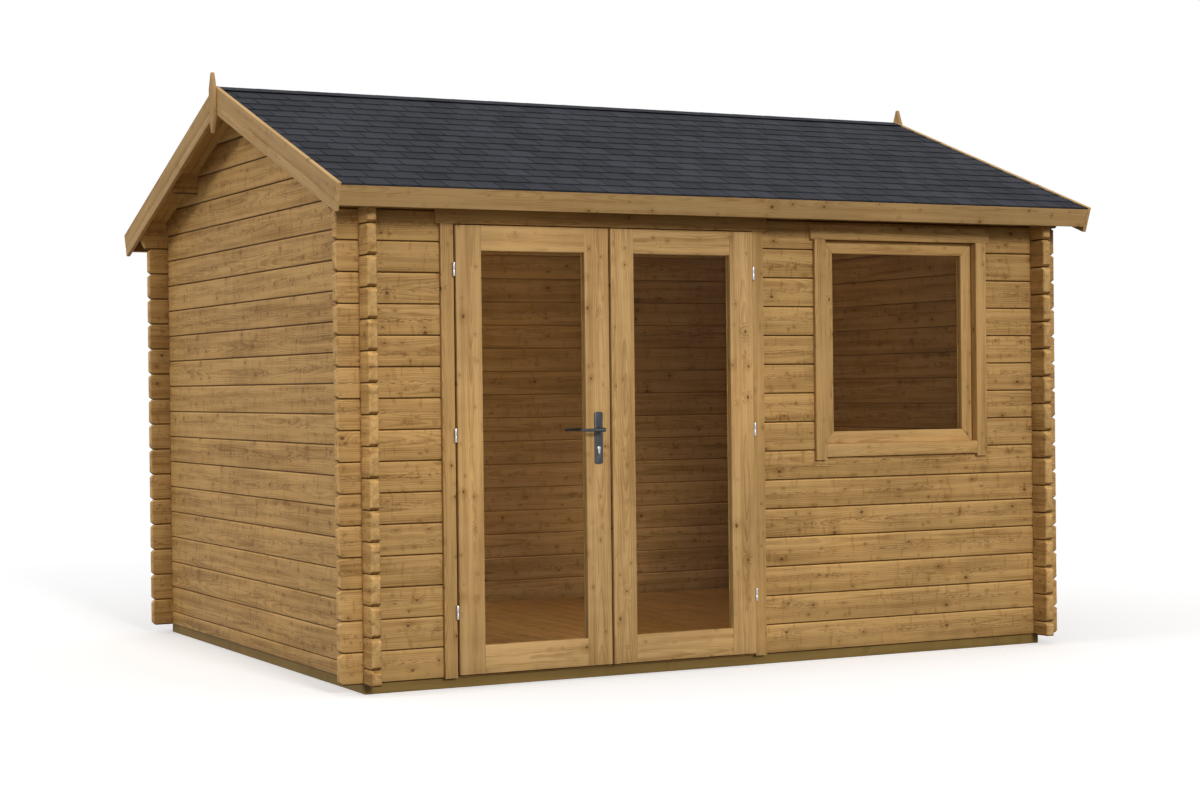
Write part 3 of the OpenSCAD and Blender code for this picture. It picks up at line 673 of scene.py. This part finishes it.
def knots(tree, board, knot_share):
    """Masks of the knots, which run through the depth of a board, and of their halos."""
    cells = tree.vector("DIVIDE", board, KNOT_CELL)
    cell = tree.add("ShaderNodeTexVoronoi", {"Vector": cells, "Scale": 1.0})
    offset = tree.vector("SUBTRACT", cells, cell.outputs["Position"])
    reach = tree.vector("LENGTH", tree.vector("MULTIPLY", offset, KNOT_SHAPE))
    size, chance = tree.parts(cell.outputs["Color"])[:2]
    radius = tree.math("MULTIPLY_ADD", tree.math("POWER", size, KNOT_RARITY), KNOT_GROWTH, KNOT_RADIUS)
    present = tree.math("LESS_THAN", chance, knot_share)
    masks = []
    for rim, core in (KNOT_EDGE, HALO_EDGE):
        outer = tree.math("MULTIPLY", radius, rim)
        inner = tree.math("MULTIPLY", radius, core)
        masks.append(tree.math("MULTIPLY", present, tree.ramp(reach, outer, inner)))
    return masks


def rings(tree, given, wave, halo):
    """Masks of the late wood about a pith that wanders beside the board, and of the board's heart."""
    along, width, depth = tree.parts(given["Board"])
    chance = tree.add("ShaderNodeTexWhiteNoise", {"W": given["Lot"]}, noise_dimensions="1D")
    pith_width, pith_depth, pith_drift = tree.parts(chance.outputs["Color"])
    slow = tree.noise(tree.join(along, pith_drift, 0.0), PITH_STRETCH, detail=1.0)
    drift = tree.math("SUBTRACT", slow, 0.5)
    sides = []
    for i, (place_across, pith) in enumerate(((width, pith_width), (depth, pith_depth))):
        start = tree.math("MULTIPLY_ADD", pith, PITH_SPREAD[i], PITH_START[i])
        sides.append(tree.math("MULTIPLY_ADD", drift, PITH_SWAY[i], tree.math("ADD", place_across, start)))
    radius = tree.vector("LENGTH", tree.join(*sides, 0.0))
    radius = tree.math("MULTIPLY_ADD", wave, RING_WAVE, radius)
    radius = tree.math("MULTIPLY_ADD", halo, RING_PUSH, radius)
    ring = tree.math("FRACT", tree.math("DIVIDE", radius, given["Ring spacing"]))
    late = tree.math("SUBTRACT", tree.ramp(ring, LATE_START, LATE_FULL), tree.ramp(ring, LATE_FULL, 1.0))
    beside_heart = tree.math("ABSOLUTE", tree.math("MULTIPLY_ADD", drift, HEART_SWAY, width))
    return late, tree.ramp(beside_heart, *HEART_EDGE)


def make_grain_group():
    """Growth rings, fibres, knots and small checks of a board, from where a point lies in it."""
    tree, given, result = new_group(
        "Timber grain",
        [("Board", "Vector"), ("Ends", "Vector"), ("Lot", "Float"), ("Light", "Color"), ("Dark", "Color"),
         ("Knot", "Color"), ("Ring spacing", "Float"), ("Knot share", "Float"), ("Contrast", "Float"),
         ("Joint shade", "Float"), ("Check share", "Float")],
        [("Color", "Color"), ("Roughness", "Float"), ("Height", "Float")],
    )
    board = given["Board"]
    noise = {name: tree.noise(board, *figure) for name, figure in GRAIN_NOISES.items()}
    knot, halo = knots(tree, board, given["Knot share"])
    late, heart = rings(tree, given, noise["wave"], halo)
    fibre = noise["fibre"]
    streak = noise["streak"]
    tone = tree.total(
        TONE_START, (0.26, late), (1.05, streak), (0.34, fibre),
        (0.22, noise["band"]), (0.16, noise["cloud"]), (0.12, given["Lot"]),
    )
    tone = tree.math("MULTIPLY_ADD", tree.math("SUBTRACT", tone, TONE_MIDDLE), given["Contrast"], TONE_MIDDLE)
    tone = tree.clamp(tree.math("MULTIPLY_ADD", halo, HALO_TONE, tone))
    colour = tree.mix(tone, given["Light"], given["Dark"])

    # Short ticks across the board, checks along its heart and the knots
    faint = tree.math("MULTIPLY", given["Check share"], TICK_STRENGTH)
    tick = tree.math("MULTIPLY", tree.ramp(noise["tick"], *TICK_EDGE), faint)
    colour = tree.tint(tick, colour, TICK_TINT)
    dash = tree.ramp(noise["dash"], *DASH_EDGE)
    check = tree.math("MULTIPLY", dash, tree.ramp(noise["stretch"], *STRETCH_EDGE))
    check = tree.math("MULTIPLY", check, tree.math("MULTIPLY", heart, given["Check share"]))
    colour = tree.mix(check, colour, given["Knot"])
    colour = tree.mix(tree.math("MULTIPLY", knot, KNOT_STRENGTH), colour, given["Knot"])

    # Fresh sawn ends are paler than the faces, and painted shade darkens the joint along the lower edge of a
    # log
    start, stop, rise = tree.parts(given["Ends"])
    colour = tree.tint(tree.ramp(tree.math("MINIMUM", start, stop), *SAWN_EDGE), colour, SAWN_TINT)
    # Painted shade: the lower edge of a log outside the room is darkened
    joint_shade_mask = tree.math("MULTIPLY", tree.ramp(rise, *JOINT_SHADE_EDGE), given["Joint shade"])
    rough = tree.total(TIMBER_ROUGHNESS, (0.14, fibre), (0.1, streak))
    height = tree.total(0.5, (-0.35, late), (0.5, fibre))
    height = tree.math("MULTIPLY_ADD", check, CHECK_DEPTH, height)
    tree.fill(result, {
        "Color": tree.tint(joint_shade_mask, colour, JOINT_SHADE_TINT),
        "Roughness": tree.math("MULTIPLY_ADD", knot, KNOT_POLISH, rough),
        "Height": tree.math("MULTIPLY_ADD", knot, KNOT_DEPTH, height),
    })


# Weather and painted light: stretches of its noises, from where to where each mark sets in, and the tints
DAMP_STRETCH = (9.0, 9.0, 3.0)
DAMP_RAGGED = 0.12
DAMP_STRENGTH = 0.55
DAMP_TINT = (0.62, 0.6, 0.55)
BLOTCH_STRETCH = (1.3, 1.3, 1.3)
BLOTCH_EDGE = (0.4, 0.75)
BLOTCH_TINT = (1.12, 1.1, 1.06)
# Painted highlight on faces that look up: the lean where it sets in, and its tint
UPPER_LEAN = (0.3, 0.7)
TOP_HIGHLIGHT_TINT = (1.42, 1.42, 1.4)
# Painted shade on faces that look down: the lean where it sets in, and its tint
UNDER_LEAN = (-0.3, -0.7)
UNDERSIDE_SHADE_TINT = (0.5, 0.45, 0.38)


def make_weather_and_light_group():
    """Damp near the ground, pale blotches, a painted highlight on upward faces and painted shade on
    undersides, laid over a colour.
    """
    tree, given, result = new_group(
        "Weather and painted light",
        [("Color", "Color"), ("Point", "Vector"), ("Normal", "Vector"),
         ("Damp height", "Float"), ("Underside shade", "Float")],
        [("Color", "Color")],
    )
    ragged = tree.math("SUBTRACT", tree.noise(given["Point"], DAMP_STRETCH, detail=3.0), 0.5)
    level = tree.math("MULTIPLY_ADD", ragged, DAMP_RAGGED, tree.parts(given["Point"])[2])
    damp = tree.math("MULTIPLY", tree.ramp(level, given["Damp height"], 0.0), DAMP_STRENGTH)
    colour = tree.tint(damp, given["Color"], DAMP_TINT)
    blotch = tree.noise(given["Point"], BLOTCH_STRETCH, detail=2.0)
    colour = tree.tint(tree.ramp(blotch, *BLOTCH_EDGE), colour, BLOTCH_TINT)
    lean = tree.parts(given["Normal"])[2]
    # Painted highlight: faces that look up are lightened
    colour = tree.tint(tree.ramp(lean, *UPPER_LEAN), colour, TOP_HIGHLIGHT_TINT)
    # Painted shade: faces that look down are darkened
    under = tree.math("MULTIPLY", tree.ramp(lean, *UNDER_LEAN), given["Underside shade"])
    tree.fill(result, {"Color": tree.tint(under, colour, UNDERSIDE_SHADE_TINT)})


# Shingles: stretches of the patches, and the middle of tone and roughness
PATCH_STRETCH = (9.0, 9.0, 9.0)
BROAD_STRETCH = (1.7, 1.7, 1.7)
GRANULE_TONE = 0.46
GRANULE_ROUGHNESS = 0.86


def make_granule_group():
    """Mineral granules and cloudy patches of a shingle."""
    tree, given, result = new_group(
        "Granules",
        [("Point", "Vector"), ("Lot", "Float"), ("Light", "Color"), ("Dark", "Color"), ("Size", "Float")],
        [("Color", "Color"), ("Roughness", "Float"), ("Height", "Float")],
    )
    scale = tree.math("DIVIDE", 1.0, given["Size"])
    cell = tree.add("ShaderNodeTexVoronoi", {"Vector": given["Point"], "Scale": scale})
    grey, grit = tree.parts(cell.outputs["Color"])[:2]
    patch = tree.noise(given["Point"], PATCH_STRETCH, detail=4.0)
    broad = tree.noise(given["Point"], BROAD_STRETCH, detail=2.0)
    tone = tree.total(GRANULE_TONE, (0.4, grey), (0.7, patch), (0.5, broad), (0.55, given["Lot"]))
    tree.fill(result, {
        "Color": tree.mix(tree.clamp(tone), given["Dark"], given["Light"]),
        "Roughness": tree.total(GRANULE_ROUGHNESS, (0.12, grit)),
        "Height": tree.math("SUBTRACT", 1.0, cell.outputs["Distance"]),
    })


# Metal: stretches of smears and scratches, from where to where a smear sets in, and its tint
SMEAR_STRETCH = (60.0, 60.0, 25.0)
SCRATCH_STRETCH = (900.0, 900.0, 70.0)
SMEAR_EDGE = (0.42, 0.7)
SMEAR_TINT = (0.72, 0.72, 0.74)


def make_scuff_group():
    """Fine scratches and handling marks of metal."""
    tree, given, result = new_group(
        "Scuffs",
        [("Point", "Vector"), ("Color", "Color"), ("Roughness", "Float")],
        [("Color", "Color"), ("Roughness", "Float"), ("Height", "Float")],
    )
    smear = tree.noise(given["Point"], SMEAR_STRETCH, detail=3.0)
    scratch = tree.noise(given["Point"], SCRATCH_STRETCH, detail=2.0)
    tree.fill(result, {
        "Color": tree.tint(tree.ramp(smear, *SMEAR_EDGE), given["Color"], SMEAR_TINT),
        "Roughness": tree.total(given["Roughness"], (0.22, smear), (0.1, scratch)),
        "Height": scratch,
    })


def new_material(name):
    """A material with its Principled shader; returns the material, its tree and the shader."""
    material = bpy.data.materials.new(name)
    material.use_nodes = True
    tree = Tree(material.node_tree)
    return material, tree, material.node_tree.nodes["Principled BSDF"]


def dress(tree, shader, colour, finish, relief):
    """Feeds a colour to the shader, and a finish's roughness and its height as a relief."""
    bump = tree.add("ShaderNodeBump", {"Strength": 0.6, "Distance": relief, "Height": finish["Height"]})
    tree.fill(shader, {
        "Base Color": colour,
        "Roughness": finish["Roughness"],
        "Normal": bump.outputs["Normal"],
    })


def outside_room(tree, point):
    """1 outside the room, past the joints of its log faces, and 0 inside."""
    past = []
    for place_across, half in zip(tree.parts(point)[:2], ROOM):
        past.append(tree.math("GREATER_THAN", tree.math("ABSOLUTE", place_across), half + JOINT_DEPTH))
    return tree.math("MAXIMUM", *past)


def timber(name, light, dark, ring_spacing, knot_share, contrast, painted_shade=0.0, check_share=0.0):
    """Sawn and planed softwood in two colours, with painted shade in the joints outside the room and on the
    undersides.
    """
    material, tree, shader = new_material(name)
    point = tree.point()
    grain = placed_group(tree, "Timber grain", {
        "Board": tree.attribute("board", "Vector"),
        "Ends": tree.attribute("ends", "Vector"),
        "Lot": tree.attribute("lot", "Fac"),
        "Light": opaque(light),
        "Dark": opaque(dark),
        "Knot": opaque(bpy.context.scene.cabin_colours.knot),
        "Ring spacing": ring_spacing,
        "Knot share": knot_share,
        "Contrast": contrast,
        # Painted shade in the log joints, outside the room only
        "Joint shade": tree.math("MULTIPLY", outside_room(tree, point), painted_shade),
        "Check share": check_share,
    })
    # Besides weather, this paints a highlight on upward faces and shade on undersides
    weather_and_light = placed_group(tree, "Weather and painted light", {
        "Color": grain["Color"],
        "Point": point,
        "Normal": tree.add("ShaderNodeNewGeometry").outputs["True Normal"],
        "Damp height": bpy.context.scene.cabin_sizes.damp_height,
        "Underside shade": painted_shade,
    })
    tree.fill(shader, {"Specular IOR Level": 0.12})
    dress(tree, shader, weather_and_light["Color"], grain, relief=0.0006)
    return material


def seen_directly(tree):
    """1 where the camera sees a surface itself, in a mirror or through glass, 0 where it only gives light."""
    path = tree.add("ShaderNodeLightPath").outputs
    seen = tree.math("MAXIMUM", path["Is Camera Ray"], path["Is Glossy Ray"])
    return tree.math("MAXIMUM", seen, path["Is Transmission Ray"])


def shingle_material(name, size):
    """Granulated bitumen."""
    colours = bpy.context.scene.cabin_colours
    material, tree, shader = new_material(name)
    granules = placed_group(tree, "Granules", {
        "Point": tree.point(),
        "Lot": tree.attribute("lot", "Fac"),
        "Light": opaque(colours.shingle_light),
        "Dark": opaque(colours.shingle_dark),
        "Size": size,
    })
    tree.fill(shader, {"Specular IOR Level": 0.15})
    dress(tree, shader, granules["Color"], granules, relief=0.0008)
    return material


def metal_material(name, colour, metallic, roughness):
    """Plated or coated steel with handling marks."""
    material, tree, shader = new_material(name)
    scuffs = placed_group(tree, "Scuffs", {
        "Point": tree.point(),
        "Color": opaque(colour),
        "Roughness": roughness,
    })
    tree.fill(shader, {"Metallic": metallic})
    dress(tree, shader, scuffs["Color"], scuffs, relief=0.0001)
    return material


# Dust on the glass: stretch of its noise, from where to where it sets in, and how it dulls the glass
DUST_STRETCH = (3.0, 3.0, 1.2)
DUST_EDGE = (0.5, 0.9)
DUST_ROUGHNESS = 0.03


def glass_material(name, tint, shade):
    """Clear glass with a faint film of dust, which lets some of the lamps' light into the room."""
    material, tree, shader = new_material(name)
    dust = tree.ramp(tree.noise(tree.point(), DUST_STRETCH, detail=4.0), *DUST_EDGE)
    tree.fill(shader, {
        "Base Color": opaque(tint),
        "Roughness": tree.math("MULTIPLY", dust, DUST_ROUGHNESS),
        "Transmission Weight": 1.0,
        "IOR": 1.12,
        "Specular IOR Level": 0.1,
    })
    clear = tree.add("ShaderNodeBsdfTransparent", {"Color": opaque(shade)})
    path = tree.add("ShaderNodeLightPath")
    tree.show(tree.blend(path.outputs["Is Shadow Ray"], shader.outputs["BSDF"], clear.outputs["BSDF"]))
    return material


class CABIN_OT_groups(bpy.types.Operator):
    """Make the shader groups that the finishes share"""

    bl_idname = "cabin.groups"
    bl_label = "Shared finishes"

    def execute(self, context):
        make_grain_group()
        make_weather_and_light_group()
        make_granule_group()
        make_scuff_group()
        return {"FINISHED"}


class CABIN_OT_logs(bpy.types.Operator):
    """Ease the wall logs, gable logs and purlins and lay their grain"""

    bl_idname = "cabin.logs"
    bl_label = "Logs"

    def execute(self, context):
        colours = context.scene.cabin_colours
        sizes = context.scene.cabin_sizes
        material = timber(
            "Log timber", colours.log_light, colours.log_dark,
            ring_spacing=0.0075, knot_share=0.66, contrast=1.6, painted_shade=0.9, check_share=0.66,
        )
        level_share = sizes.log_easing / sizes.tip_easing
        finish_timber(WALL_LOGS, sizes.tip_easing, material, level_share=level_share)
        return {"FINISHED"}


class CABIN_OT_base(bpy.types.Operator):
    """Ease the bearers and joists and lay their grain"""

    bl_idname = "cabin.base"
    bl_label = "Base timbers"

    def execute(self, context):
        colours = context.scene.cabin_colours
        material = timber(
            "Bearer timber", colours.bearer_light, colours.bearer_dark,
            ring_spacing=0.006, knot_share=0.35, contrast=1.0,
        )
        finish_timber(BASE_TIMBERS, context.scene.cabin_sizes.board_easing, material)
        return {"FINISHED"}


class CABIN_OT_roof_trim(bpy.types.Operator):
    """Ease the fascias, barge boards and finials and lay their grain"""

    bl_idname = "cabin.roof_trim"
    bl_label = "Roof trim"

    def execute(self, context):
        colours = context.scene.cabin_colours
        material = timber(
            "Trim timber", colours.trim_light, colours.trim_dark,
            ring_spacing=0.0055, knot_share=0.6, contrast=1.7,
        )
        finish_timber(ROOF_TRIM, context.scene.cabin_sizes.board_easing, material)
        return {"FINISHED"}


class CABIN_OT_joinery(bpy.types.Operator):
    """Ease the door and window timber and lay its grain"""

    bl_idname = "cabin.joinery"
    bl_label = "Doors and window"

    def execute(self, context):
        colours = context.scene.cabin_colours
        easing = context.scene.cabin_sizes.board_easing
        kinds = (
            ("Joinery timber", colours.joinery_light, colours.joinery_dark, JOINERY),
            ("Leaf timber", colours.leaf_light, colours.leaf_dark, LEAVES),
        )
        for name, light, dark, nodes in kinds:
            material = timber(name, light, dark, ring_spacing=0.005, knot_share=0.6, contrast=1.8)
            finish_timber(nodes, easing, material, segments=2)
        return {"FINISHED"}


def laid_planks(name, low, high, width, top_shows):
    """Planks side by side in a box, bevelled along the face that shows."""
    sizes = bpy.context.scene.cabin_sizes
    step, places = in_line(low, high, width)
    middle_y = (low.y + high.y) / 2
    middle_z = (low.z + high.z) / 2
    size = (step - sizes.plank_gap, high.y - low.y, high.z - low.z)
    plank = new_block("plank", size, (0, middle_y, middle_z))
    select_parts(plank, "EDGE", lambda p: (p.z > middle_z) == top_shows and abs(p.x) > step / 4)
    bpy.ops.mesh.bevel(offset=sizes.plank_bevel, affect="EDGES")
    leave_edit()
    return copies(plank, places, name)


class CABIN_OT_roof_planks(bpy.types.Operator):
    """Lay the roof planks from ridge to eave"""

    bl_idname = "cabin.roof_planks"
    bl_label = "Roof planks"

    def execute(self, context):
        colours = context.scene.cabin_colours
        low, high = slope_box("front_roof_boards")
        high.y = 0  # the planks end at the ridge line
        layer = laid_planks("roof_planks", low, high, context.scene.cabin_sizes.roof_plank, top_shows=False)
        lay_grain(layer, "roof planks")
        material = timber(
            "Plank timber", colours.board_light, colours.board_dark,
            ring_spacing=0.006, knot_share=0.5, contrast=0.9,
        )
        names = ("front_roof_planks", "back_roof_planks")
        on_both_slopes(layer, names, ("front_roof_boards", "back_roof_boards"), material)
        return {"FINISHED"}


class CABIN_OT_floor_planks(bpy.types.Operator):
    """Lay the floor planks from front to back"""

    bl_idname = "cabin.floor_planks"
    bl_label = "Floor planks"

    def execute(self, context):
        low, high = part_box("floor_boards")
        floor = laid_planks("floor_planks", low, high, context.scene.cabin_sizes.floor_plank, top_shows=True)
        lay_grain(floor, "floor planks")
        smooth(floor)
        finish_piece(floor, bpy.data.materials["Plank timber"], "cabin")
        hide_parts("floor_boards")
        return {"FINISHED"}


def shingle_tab(sizes, top):
    """One tab: thick at its lower edge, thin where it slips under the next row."""
    length = sizes.row_height + sizes.row_lap
    size = (sizes.tab_width - sizes.tab_gap, length, sizes.butt)
    tab = new_block("tab", size, (0, length / 2, top - sizes.butt / 2))
    slack = sizes.butt / 20
    drop = sizes.butt * length / sizes.row_height + slack
    thinning = sizes.butt * 3 / 4
    easing = sizes.butt / 4
    select_parts(tab, "VERT", lambda p: p.y > length / 2)
    bpy.ops.transform.translate(value=(0, 0, -drop))
    select_parts(tab, "VERT", lambda p: p.y > length / 2 and p.z < top - drop - sizes.butt / 2)
    bpy.ops.transform.translate(value=(0, 0, thinning))
    select_parts(tab, "EDGE", lambda p: p.y < length / 2 and p.z > top - sizes.butt / 2)
    bpy.ops.mesh.bevel(offset=easing, affect="EDGES")
    leave_edit()
    return tab


class CABIN_OT_shingles(bpy.types.Operator):
    """Lay the shingles in rows, each half a tab beside the last"""

    bl_idname = "cabin.shingles"
    bl_label = "Shingles"

    def execute(self, context):
        sizes = context.scene.cabin_sizes
        low, high = slope_box("front_shingles")
        eave = low.y
        rows = int(-eave / sizes.row_height)
        columns = math.ceil((high.x - low.x) / sizes.tab_width) + 1
        places = []
        for row in range(rows):
            start = low.x - (row % 2) * sizes.tab_width / 2 + sizes.tab_width * FIRST_TAB
            for column in range(columns):
                spot = (start + column * sizes.tab_width, eave + row * sizes.row_height, 0)
                places.append(Matrix.Translation(spot))
        layer = copies(shingle_tab(sizes, high.z), places, "shingles")
        give_lots(layer, "shingles", sizes.tab_stray)
        trim_ends(layer, low, high)
        felt = new_block("felt", (high.x - low.x, -eave, sizes.felt), (0, eave / 2, low.z + sizes.felt / 2))
        select_parts(felt, "EDGE", lambda p: p.y < eave / 2 and p.z > low.z + sizes.felt / 2)
        bpy.ops.mesh.bevel(offset=sizes.felt / 4, affect="EDGES")
        leave_edit()
        give_lots(felt, "felt")
        pick(layer)
        felt.select_set(True)
        bpy.ops.object.join()
        material = shingle_material("Shingle", sizes.granule)
        names = ("front_shingle_rows", "back_shingle_rows")
        on_both_slopes(layer, names, ("front_shingles", "back_shingles"), material)
        return {"FINISHED"}


class CABIN_OT_ridge_caps(bpy.types.Operator):
    """Fold the ridge caps over the ridge, each over the end of the last"""

    bl_idname = "cabin.ridge_caps"
    bl_label = "Ridge caps"

    def execute(self, context):
        sizes = context.scene.cabin_sizes
        low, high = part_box("ridge_cap")
        thick = ((high.z - RIDGE_Z) * math.cos(PITCH) - slope_box("front_shingles")[1].z) / 2
        step, places = in_line(low, high, sizes.cap_length)
        deselect()
        bpy.ops.mesh.primitive_grid_add(x_subdivisions=1, y_subdivisions=CAP_STRIPS, size=1)
        cap = context.object
        edit(cap)
        length = step + step * CAP_LAP
        bpy.ops.transform.resize(value=(length, high.y - low.y, 1), center_override=(0, 0, 0))
        shape = bmesh.from_edit_mesh(cap.data)
        for corner in shape.verts:
            run = math.hypot(corner.co.y, sizes.cap_fold)
            lift = thick * CAP_LIFT if corner.co.x < 0 else 0.0
            corner.co.z = high.z - 2 * thick - run * math.tan(PITCH) + lift
        bmesh.update_edit_mesh(cap.data)
        leave_edit()
        use_modifier(cap, "SOLIDIFY", thickness=thick, offset=1.0)
        use_modifier(cap, "BEVEL", width=thick / 5, segments=1, limit_method="ANGLE", angle_limit=SHARP_ANGLE)
        caps = copies(cap, places, "ridge_caps")
        give_lots(caps, "ridge caps")
        trim_ends(caps, low, high)
        smooth(caps)
        finish_piece(caps, bpy.data.materials["Shingle"], "cabin")
        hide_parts("ridge_cap")
        return {"FINISHED"}


class CABIN_OT_metal(bpy.types.Operator):
    """Ease the hinges, the handle and the lock and give them their metals"""

    bl_idname = "cabin.metal"
    bl_label = "Hinges, handle and lock"

    def execute(self, context):
        colours = context.scene.cabin_colours
        easing = context.scene.cabin_sizes.metal_easing
        zinc = metal_material("Zinc", colours.zinc, metallic=1.0, roughness=0.34)
        dark = metal_material("Dark metal", colours.anthracite, metallic=0.3, roughness=0.42)
        finishes = [(node, zinc, "zinc") for node in (*HINGES, "lock_cylinder")]
        finishes += [(node, dark, "dark_metal") for node in ("handle_plates", "handle_lever")]
        for node, material, slot in finishes:
            piece = eased(node, easing, segments=2)
            smooth(piece)
            finish_piece(piece, material, frame["nodes"][node]["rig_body"])
        return {"FINISHED"}


class CABIN_OT_glass(bpy.types.Operator):
    """Give the panes their glass"""

    bl_idname = "cabin.glass"
    bl_label = "Glass"

    def execute(self, context):
        colours = context.scene.cabin_colours
        material = glass_material("Glass", colours.glass, colours.glass_shade)
        for node in PANES:
            mesh = frame["nodes"][node].data
            mesh.materials.clear()
            mesh.materials.append(material)
        return {"FINISHED"}


class CABIN_OT_stage(bpy.types.Operator):
    """Set up the floor, the light and the camera"""

    bl_idname = "cabin.stage"
    bl_label = "Stage"

    def execute(self, context):
        stage = context.scene.cabin_stage
        self.lay_floor(context, stage)
        self.light(context, stage)
        self.set_camera(context, stage)
        context.scene.view_settings.view_transform = "Standard"
        return {"FINISHED"}

    def lay_floor(self, context, stage):
        """A pale floor that keeps shadows near the cabin, fades to white and throws back more on the left."""
        colours = context.scene.cabin_colours
        deselect()
        bpy.ops.mesh.primitive_plane_add(size=stage.floor_size)
        floor = context.object
        floor.name = "stage_floor"
        edit(floor)
        bpy.ops.mesh.subdivide(number_cuts=4)
        leave_edit()
        material, tree, shader = new_material("Stage floor")
        point = tree.point()
        far = tree.ramp(tree.vector("LENGTH", point), stage.floor_clear, stage.floor_fade)
        tree.fill(shader, {
            "Base Color": opaque(colours.floor),
            "Roughness": 0.9,
            "Specular IOR Level": 0.0,
            "Emission Color": WHITE,
            "Emission Strength": stage.floor_glow,
        })
        white = tree.add("ShaderNodeEmission", {"Color": WHITE, "Strength": 1.0})
        seen = tree.blend(far, shader.outputs["BSDF"], white.outputs["Emission"])
        beside = tree.ramp(tree.parts(point)[0], -stage.reflector_near, -stage.reflector_full)
        thrown = tree.mix(beside, opaque(colours.ground), opaque(colours.reflector))
        dull = tree.add("ShaderNodeBsdfDiffuse", {"Color": thrown})
        tree.show(tree.blend(seen_directly(tree), dull.outputs["BSDF"], seen))
        floor.data.materials.append(material)

    def light(self, context, stage):
        """Weak light from all round, a lamp from the front, one from the left and a weak one in the room."""
        world = bpy.data.worlds.new("Studio")
        world.use_nodes = True
        context.scene.world = world
        tree = Tree(world.node_tree)
        world.node_tree.nodes.clear()
        sky = tree.add("ShaderNodeBackground", {"Color": WHITE, "Strength": stage.sky})
        white = tree.add("ShaderNodeBackground", {"Color": WHITE, "Strength": 1.0})
        both = tree.blend(seen_directly(tree), sky.outputs["Background"], white.outputs["Background"])
        tree.add("ShaderNodeOutputWorld", {"Surface": both})
        for energy, (spot, way, softness) in ((stage.front_key, FRONT_LAMP), (stage.side_key, SIDE_LAMP)):
            deselect()
            bpy.ops.object.light_add(type="SUN", location=spot)
            lamp = context.object
            lamp.data.energy = energy
            lamp.data.angle = softness
            lamp.rotation_euler = way.to_track_quat("-Z", "Y").to_euler()
        deselect()
        bpy.ops.object.light_add(type="POINT", radius=ROOM_LAMP_RADIUS, location=ROOM_LAMP)
        fill = context.object
        fill.data.energy = stage.room
        fill.data.color = context.scene.cabin_colours.room_light
        fill.visible_camera = False
        fill.visible_glossy = False
        fill.visible_transmission = False

    def set_camera(self, context, stage):
        """The camera at the viewing angle of the picture."""
        deselect()
        bpy.ops.object.camera_add(location=stage.place)
        camera = context.object
        turn = Matrix.Rotation(-stage.yaw, 3, "Z") @ Matrix.Rotation(math.pi / 2 + stage.tilt, 3, "X")
        camera.rotation_euler = (turn @ Matrix.Rotation(stage.roll, 3, "Z")).to_euler()
        camera.data.lens = stage.lens
        camera.data.sensor_width = SENSOR_WIDTH
        context.scene.camera = camera


OPERATORS = (
    CABIN_OT_groups,
    CABIN_OT_logs,
    CABIN_OT_base,
    CABIN_OT_roof_trim,
    CABIN_OT_joinery,
    CABIN_OT_roof_planks,
    CABIN_OT_floor_planks,
    CABIN_OT_shingles,
    CABIN_OT_ridge_caps,
    CABIN_OT_metal,
    CABIN_OT_glass,
    CABIN_OT_stage,
)


class CABIN_PT_panel(bpy.types.Panel):
    """Lists the steps that finish the cabin"""

    bl_idname = "CABIN_PT_panel"
    bl_label = "Log cabin"
    bl_space_type = "VIEW_3D"
    bl_region_type = "UI"
    bl_category = "Cabin"

    def draw(self, context):
        for operator in OPERATORS:
            self.layout.operator(operator.bl_idname)


CLASSES = (CabinSizes, CabinColours, CabinStage, *OPERATORS, CABIN_PT_panel)


def register():
    """Registers the classes and puts the properties on the scene."""
    for item in CLASSES:
        bpy.utils.register_class(item)
    bpy.types.Scene.cabin_sizes = bpy.props.PointerProperty(type=CabinSizes)
    bpy.types.Scene.cabin_colours = bpy.props.PointerProperty(type=CabinColours)
    bpy.types.Scene.cabin_stage = bpy.props.PointerProperty(type=CabinStage)


def unregister():
    """Takes the properties and the classes away again."""
    del bpy.types.Scene.cabin_stage
    del bpy.types.Scene.cabin_colours
    del bpy.types.Scene.cabin_sizes
    for item in reversed(CLASSES):
        bpy.utils.unregister_class(item)


def main():
    """Finishes the cabin step by step."""
    register()
    bpy.ops.cabin.groups()
    bpy.ops.cabin.logs()
    bpy.ops.cabin.base()
    bpy.ops.cabin.roof_trim()
    bpy.ops.cabin.joinery()
    bpy.ops.cabin.roof_planks()
    bpy.ops.cabin.floor_planks()
    bpy.ops.cabin.shingles()
    bpy.ops.cabin.ridge_caps()
    bpy.ops.cabin.metal()
    bpy.ops.cabin.glass()
    bpy.ops.cabin.stage()


if __name__ == "__main__":
    main()
